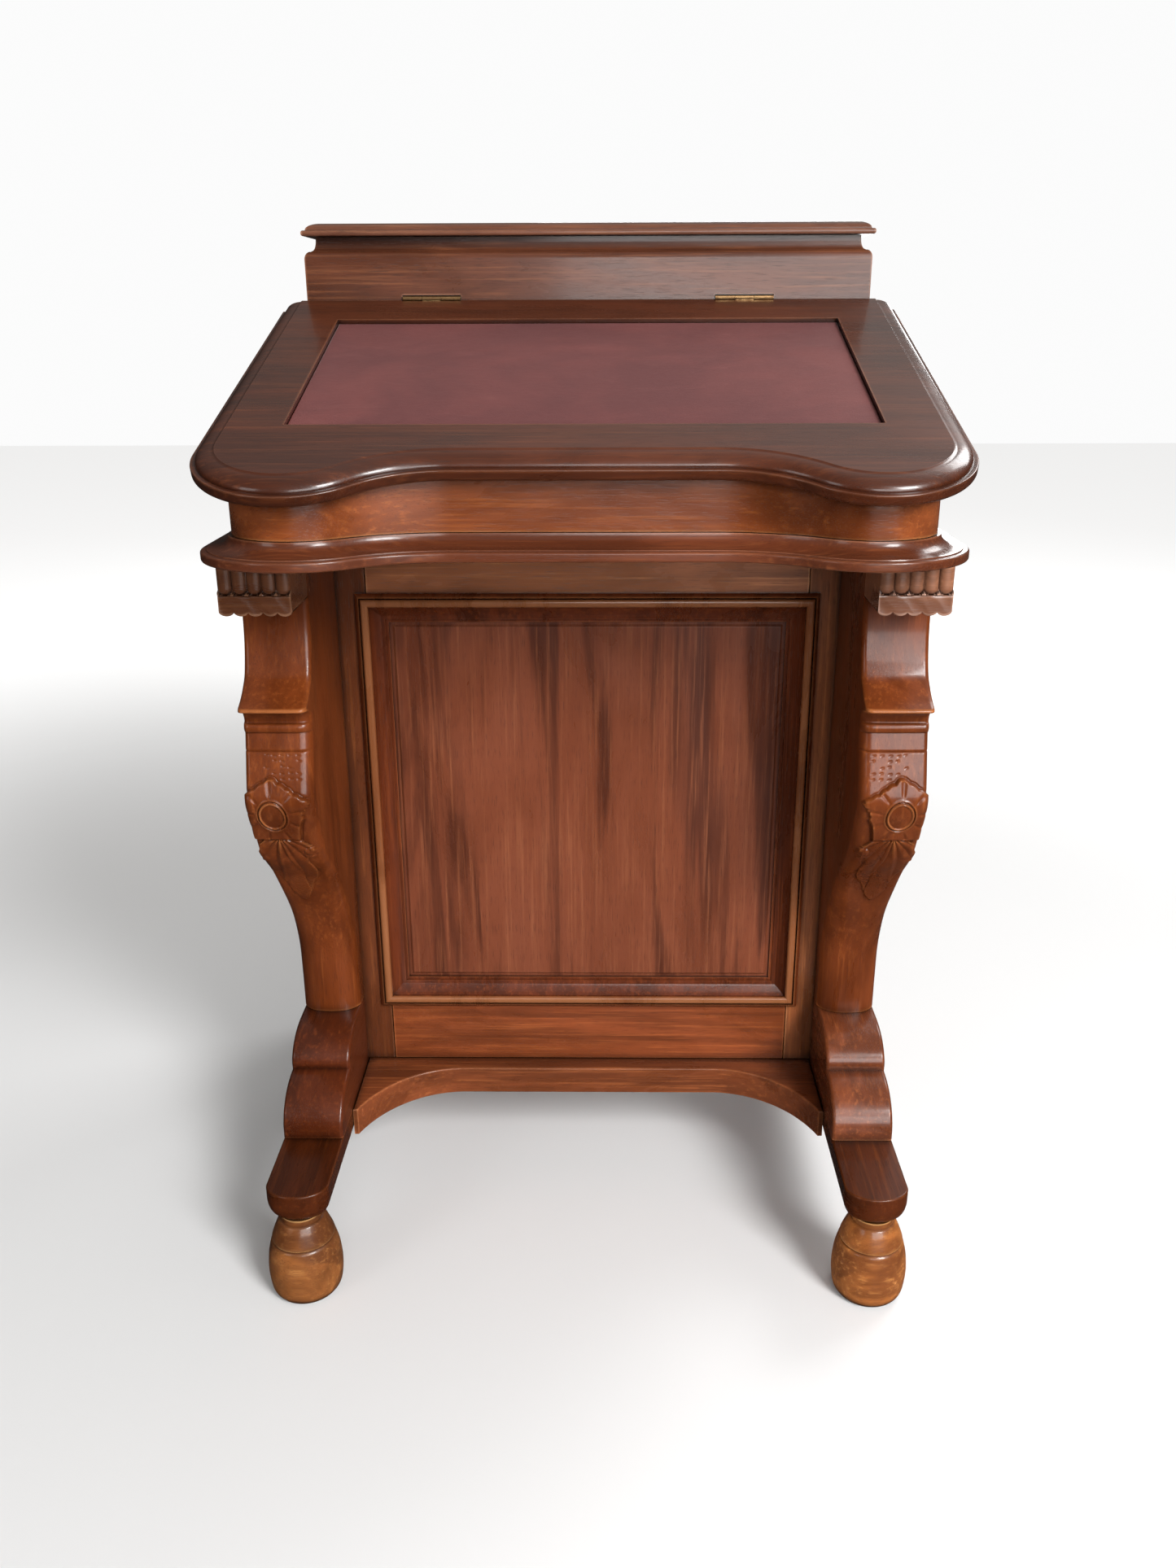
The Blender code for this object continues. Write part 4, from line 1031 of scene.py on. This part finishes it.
def make_feet():
    """Bun feet: a neck, a collar over a scribed groove, and a full round body."""
    for place in ("front", "rear"):
        for side, sign in SIDES:
            node = f"bun_foot_{place}_{side}"
            low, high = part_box(node)
            radius, top = (high.x - low.x) / 2, high.z
            neck = flowing([(0.0172, top), (0.0166, top * 0.965), (0.0170, top * 0.925)], 4)
            collar = flowing([(0.0185, top * 0.915), (0.0214, top * 0.845), (0.0246, top * 0.74),
                              (0.0256, top * 0.700)], 6)
            groove = [(0.0258, top * 0.686), (0.0249, top * 0.676), (0.0249, top * 0.666),
                      (0.0262, top * 0.654)]
            body = flowing([(0.0268, top * 0.638), (0.0293, top * 0.50), (radius, top * 0.31),
                            (0.0299, top * 0.155), (0.0286, top * 0.065), (0.0262, 0.0009),
                            (0.0248, 0.0)], 7)
            profile = [(0, top), *neck, *collar, *groove, *body, (0, 0)]
            middle = Matrix.Translation(((low.x + high.x) / 2, (low.y + high.y) / 2, 0))
            look = wood("worn_mahogany", "x", 38.0 + sign, 30, FOOT_PAINTED_LIGHT[side], 0.40, 0.0030)
            piece(f"{node}_turned", turned_mesh(node, profile, 72, middle), "desk",
                  look, (node,), sharp=40)


# ---------------------------------------------------------------- pedestal


def faced_rings(low, high, axis, outward, profile):
    """Rings of a board whose outer face follows (inset, depth below that face) on all four sides."""
    a = "xyz".index(axis)
    b, c = (a + 1) % 3, (a + 2) % 3
    rings = []
    for inset, depth in profile:
        ring = []
        for end_b, end_c in ((0, 0), (1, 0), (1, 1), (0, 1)):
            point = [0.0, 0.0, 0.0]
            point[a] = (high[a] if outward > 0 else low[a]) - outward * depth
            point[b] = high[b] - inset if end_b else low[b] + inset
            point[c] = high[c] - inset if end_c else low[c] + inset
            ring.append(tuple(point))
        rings.append(ring)
    return rings


def make_front_frame():
    """The pedestal's stiles and rails, as flat boards with rounded arrises."""
    # Painted light: the right stile is painted lighter than the left, as if lit from the right, and
    # the top rail is painted far paler to stand in for light under the base board's overhang
    boards = (("front_stile_left", "z", (1.2, 1.2, 1.0)), ("front_stile_right", "z", (2.1, 2.4, 2.1)),
              ("front_top_rail", "x", (3.8, 5.0, 5.4)), ("front_bottom_rail", "x", (2.0, 1.75, 1.3)))
    for i, (node, grain, tint) in enumerate(boards):
        piece(f"{node}_board", box_mesh([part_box(node)]), "desk",
              wood("mahogany", grain, 44.0 + 2.7 * i, 40, tint), (node,), 0.0009)


def make_panel_moulding():
    """The raised moulding round the panel: a slanted edge, a round crest, a long fall inwards."""
    low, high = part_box("front_panel_moulding")
    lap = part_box("front_stile_left")[0].y - GAP
    crest, sunk = low.y, high.y
    width, lap_inset, outer_radius = 0.0260, 0.0096, 0.0034
    outer = [math.sin(math.radians(15 * i)) for i in range(7)]
    hollow = [(outer_radius * x, crest + 0.0012 + outer_radius * (1 - x)) for x in outer]
    bead = arc((0.0079, crest + 0.0033), (0.0037, 0.0033), 180, 360, 16)
    fall = flowing([(0.0118, crest + 0.0042), (0.0146, crest + 0.0070), (0.0190, sunk - 0.0046),
                    (0.0232, sunk - 0.0030)], 6)
    profile = [(0, lap), *hollow, *bead, *fall, (0.0236, sunk - 0.0021), (width, sunk - 0.0017),
               (width, sunk), (lap_inset, sunk), (lap_inset, lap)]
    rings = []
    for x, z, x_in, z_in in ((low.x, low.z, 1, 1), (high.x, low.z, -1, 1),
                             (high.x, high.z, -1, -1), (low.x, high.z, 1, -1)):
        rings.append([(x + x_in * d, y, z + z_in * d) for d, y in profile])
    # The crest is painted pale: part rubbed wear, part painted highlight
    look = wood("mahogany", "z", 52.0, 60, (1.0, 0.74, 0.50), wear_and_highlight_reach=0.0010,
                rub_and_highlight_y=(crest + 0.0036, crest + 0.0004))
    piece("front_panel_moulding_run", skin("moulding", rings, loop=True), "desk",
          look, ("front_panel_moulding",), sharp=30)


def make_front_panel():
    """The panel, with a low raised field inside a plain border."""
    low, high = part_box("front_panel")
    border, rise = 0.0215, 0.0012
    thickness = high.y - low.y
    profile = [(0, thickness), (0, 0), (border - 0.0022, 0), (border - 0.0010, -rise * 0.5),
               (border - 0.0004, -rise * 0.9), (border + 0.0003, -rise)]
    rings = faced_rings(low, high, "y", -1, profile)
    piece("front_panel_fielded", skin("panel", rings), "desk",
          wood("panel_mahogany", "z", 57.3, 28, (1.10, 1.10, 1.05)), ("front_panel",), sharp=25)


def make_back():
    """The pedestal's back: a flat frame with a shallow sunk field and a small ogee round it."""
    low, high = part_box("pedestal_back")
    border, thickness = 0.052, high.y - low.y
    profile = [(0.0012, thickness), (0, thickness - 0.0012), (0, 0.0010), (0.0010, 0),
               (border, 0), (border + 0.0006, 0.0009), (border + 0.0034, 0.0012),
               (border + 0.0066, 0.0030), (border + 0.0100, 0.0038)]
    rings = faced_rings(low, high, "y", 1, profile)
    piece("pedestal_back_panelled", skin("back", rings), "desk",
          wood("mahogany", "z", 61.0, 30), ("pedestal_back",), sharp=25)


KNOB_LENGTH = 0.0260
KNOB_RADIUS = 0.0130
KNOB_SPREAD = 0.0500
KNOB_SEAT = 0.0012


def make_knob(name, body, base, facing, shift, stands_for=()):
    """A turned mushroom knob, with a bead at its foot and a ring scribed on its face."""
    stem = flowing([(0.0098, 0.0), (0.0098, 0.0012), (0.0088, 0.0024), (0.0068, 0.0052),
                    (0.0066, 0.0078), (0.0086, 0.0112)], 5)
    head = flowing([(0.0100, 0.0122), (0.0122, 0.0148), (KNOB_RADIUS, 0.0172), (0.0125, 0.0202),
                    (0.0108, 0.0228)], 6)
    ring = [(0.0086, 0.0241), (0.0080, 0.0238), (0.0074, 0.0243)]
    dome = flowing([(0.0070, 0.0247), (0.0040, 0.0257), (0.0012, KNOB_LENGTH - 0.0001)], 4)
    profile = [(0, 0), *stem, *head, *ring, *dome, (0, KNOB_LENGTH)]
    place = Matrix.Translation(base) @ Matrix.Rotation(facing * math.pi / 2, 4, "Y")
    piece(f"{name}_turned", turned_mesh(name, profile, 48, place), body,
          wood("mahogany", "x", shift, 60, 1.2), stands_for, sharp=45)


def cock_bead(thickness):
    """(inset, depth) of a front with a round bead along its edge and a flat face inside it."""
    bead = [(0.0014 - 0.0014 * x, 0.0012 - 0.0012 * z) for x, z in arc((0, 0), (1, 1), 0, 180, 8)]
    return [(0, thickness), *bead, (0.0029, 0.0019), (0.0035, 0.0016), (0.0042, 0.0014)]


def make_drawers():
    """The four drawers of the right side: beaded fronts, turned knobs and pale linings."""
    for i in range(1, 5):
        node = f"drawer_{i}_front"
        low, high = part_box(node)
        rings = faced_rings(low, high, "x", 1, cock_bead(high.x - low.x))
        piece(f"{node}_beaded", skin(node, rings), f"drawer_{i}",
              wood("panel_mahogany", "y", 70.0 + 3 * i, 30), (node,), sharp=25)
        for place in ("front", "rear"):
            knob_node = f"drawer_{i}_knob_{place}"
            knob_low, knob_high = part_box(knob_node)
            middle = (knob_low + knob_high) / 2
            make_knob(knob_node, f"drawer_{i}", (high.x - KNOB_SEAT, middle.y, middle.z), 1,
                      90.0 + i, (knob_node,))
        set_look(f"drawer_{i}_box", wood("drawer_lining", "x", 110.0 + i, 60))


def make_dummy_drawers():
    """The false fronts of the left side, each with its cock bead and two knobs."""
    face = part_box("left_side_board")[0].x
    for i in range(1, 5):
        node = f"dummy_drawer_{i}"
        low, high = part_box(node)
        low = Vector((face, low.y, low.z))
        rings = faced_rings(low, high, "x", -1, cock_bead(high.x - low.x))
        piece(f"{node}_beaded", skin(node, rings), "desk",
              wood("panel_mahogany", "y", 130.0 + 3 * i, 30), (node,), sharp=25)
        for place, sign in (("front", -1), ("rear", 1)):
            base = (face + KNOB_SEAT, (low.y + high.y) / 2 + sign * KNOB_SPREAD, (low.z + high.z) / 2)
            make_knob(f"dummy_knob_{i}_{place}", "desk", base, -1, 150.0 + i)


def set_look(node, look):
    for slot in frame["nodes"][node].material_slots:
        slot.material = look


def finish_carried_nodes():
    """The looks of the CAD nodes whose shapes are right as they are."""
    for i, (node, grain, figure_across) in enumerate((
            ("drawer_carcase", "z", 34), ("left_side_board", "z", 34),
            ("stationery_back", "x", 30), ("stationery_floor", "x", 30))):
        set_look(node, wood("mahogany", grain, 160.0 + 3 * i, figure_across))
    metal = brass()
    for node in frame["nodes"]:
        if node.endswith("_leaf"):
            set_look(node, metal)


# ---------------------------------------------------------------- floor, light, camera


def make_floor():
    """A pale floor that glows a little far from the desk, so that it meets the backdrop softly.
    Reflections leave it out, because it would veil the polish of every face that leans down."""
    middle_y = FLOOR_SIZE / 2 + FLOOR_FRONT
    bpy.ops.mesh.primitive_plane_add(size=FLOOR_SIZE, location=(0, middle_y, -0.0005))
    floor = bpy.context.object
    floor.name = "floor"
    made, tree, shader, coords = new_material("pale_floor")
    away = add_node(tree, "ShaderNodeVectorMath", {0: coords, 1: (0, -middle_y, 0)},
                    operation="DISTANCE")
    connect(tree, shader, {
        "Emission Strength": remap(tree, away.outputs["Value"], 0.8, 2.6, 0.0, 0.62),
        "Emission Color": (1, 1, 1, 1), "Base Color": (0.74, 0.74, 0.74, 1), "Roughness": 0.8,
    })
    floor.data.materials.append(made)
    floor.visible_glossy = False
    floor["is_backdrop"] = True


# Name, place, aim, width and height, and power in watts
LIGHTS = (
    ("key", (1.5, -2.2, 2.0), (0, 0, 0.45), (0.9, 1.1), 104),
    ("front_window", (0.9, -2.7, 1.05), (0, 0, 0.6), (2.2, 1.1), 49),
    ("left_fill", (-1.9, -2.0, 1.4), (0, 0, 0.3), (0.8, 1.2), 10),
    ("window", (1.8, 1.5, 2.4), (0, 0, 0.7), (1.1, 1.1), 30),
    ("rear_fill", (0.6, 3.0, 1.0), (0, 0.2, 0.4), (1.6, 0.8), 26),
)


def area_light(name, place, aim, size, power):
    data = bpy.data.lights.new(name, "AREA")
    data.shape = "RECTANGLE"
    data.size, data.size_y = size
    data.energy = power
    lamp = bpy.data.objects.new(name, data)
    bpy.context.scene.collection.objects.link(lamp)
    lamp.location = place
    lamp.rotation_euler = (Vector(aim) - Vector(place)).to_track_quat("-Z", "Y").to_euler()


def make_light():
    """Soft light from above and the front, in surroundings that are dark below eye level and
    dimmer on the left. Camera rays that miss everything see a white backdrop."""
    world = bpy.data.worlds.new("studio")
    bpy.context.scene.world = world
    world.use_nodes = True
    tree = world.node_tree
    direction = add_node(tree, "ShaderNodeTexCoord").outputs["Generated"]
    split = add_node(tree, "ShaderNodeSeparateXYZ", {0: direction})
    upwards = remap(tree, split.outputs["Z"], 0.10, 0.80, 0.05, 0.58)
    sideways = remap(tree, split.outputs["X"], -0.45, 0.40, 0.35, 1.0)
    surroundings = add_node(tree, "ShaderNodeBackground", {
        "Color": (1.0, 0.98, 0.95, 1), "Strength": math_node(tree, "MULTIPLY", upwards, sideways),
    })
    backdrop = add_node(tree, "ShaderNodeBackground", {"Color": (1, 1, 1, 1), "Strength": 0.97})
    both = add_node(tree, "ShaderNodeMixShader", {
        0: add_node(tree, "ShaderNodeLightPath").outputs["Is Camera Ray"],
        1: surroundings.outputs[0], 2: backdrop.outputs[0],
    })
    tree.links.new(both.outputs[0], tree.nodes["World Output"].inputs["Surface"])
    for lamp in LIGHTS:
        area_light(*lamp)


def make_camera():
    pitch, yaw, roll = CAMERA_PITCH, CAMERA_YAW, CAMERA_ROLL
    level = Vector((math.sin(yaw), math.cos(yaw), 0))
    forward = level * math.cos(pitch) - Vector((0, 0, math.sin(pitch)))
    right = Vector((math.cos(yaw), -math.sin(yaw), 0))
    down = forward.cross(right)
    across = right * math.cos(roll) + down * math.sin(roll)
    up = right * math.sin(roll) - down * math.cos(roll)
    turn = Matrix((across, up, -forward)).transposed().to_4x4()
    data = bpy.data.cameras.new("camera")
    data.lens = CAMERA_LENS
    data.sensor_width = SENSOR
    data.clip_start = 0.05
    camera = bpy.data.objects.new("camera", data)
    bpy.context.scene.collection.objects.link(camera)
    camera.matrix_world = Matrix.Translation((CAMERA_X, at(CAMERA_DEPTH), CAMERA_Z)) @ turn
    bpy.context.scene.camera = camera


def write_sizes():
    boxes = {"cad": cad_bounds, "visual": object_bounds()}
    {name: [list(low), list(high)] for name, (low, high) in boxes.items()}


def main():
    for make in (
            make_slope_lid, make_leather, make_frieze, make_base_board, make_box_front, make_cheeks,
            make_box_lid, make_legs, make_corbels, make_scroll_blocks, make_runners, make_platform,
            make_feet, make_front_frame, make_panel_moulding, make_front_panel, make_back,
            make_drawers, make_dummy_drawers, finish_carried_nodes, make_floor, make_light,
            make_camera):
        make()
    bpy.context.scene.view_settings.view_transform = "Standard"
    write_sizes()


main()
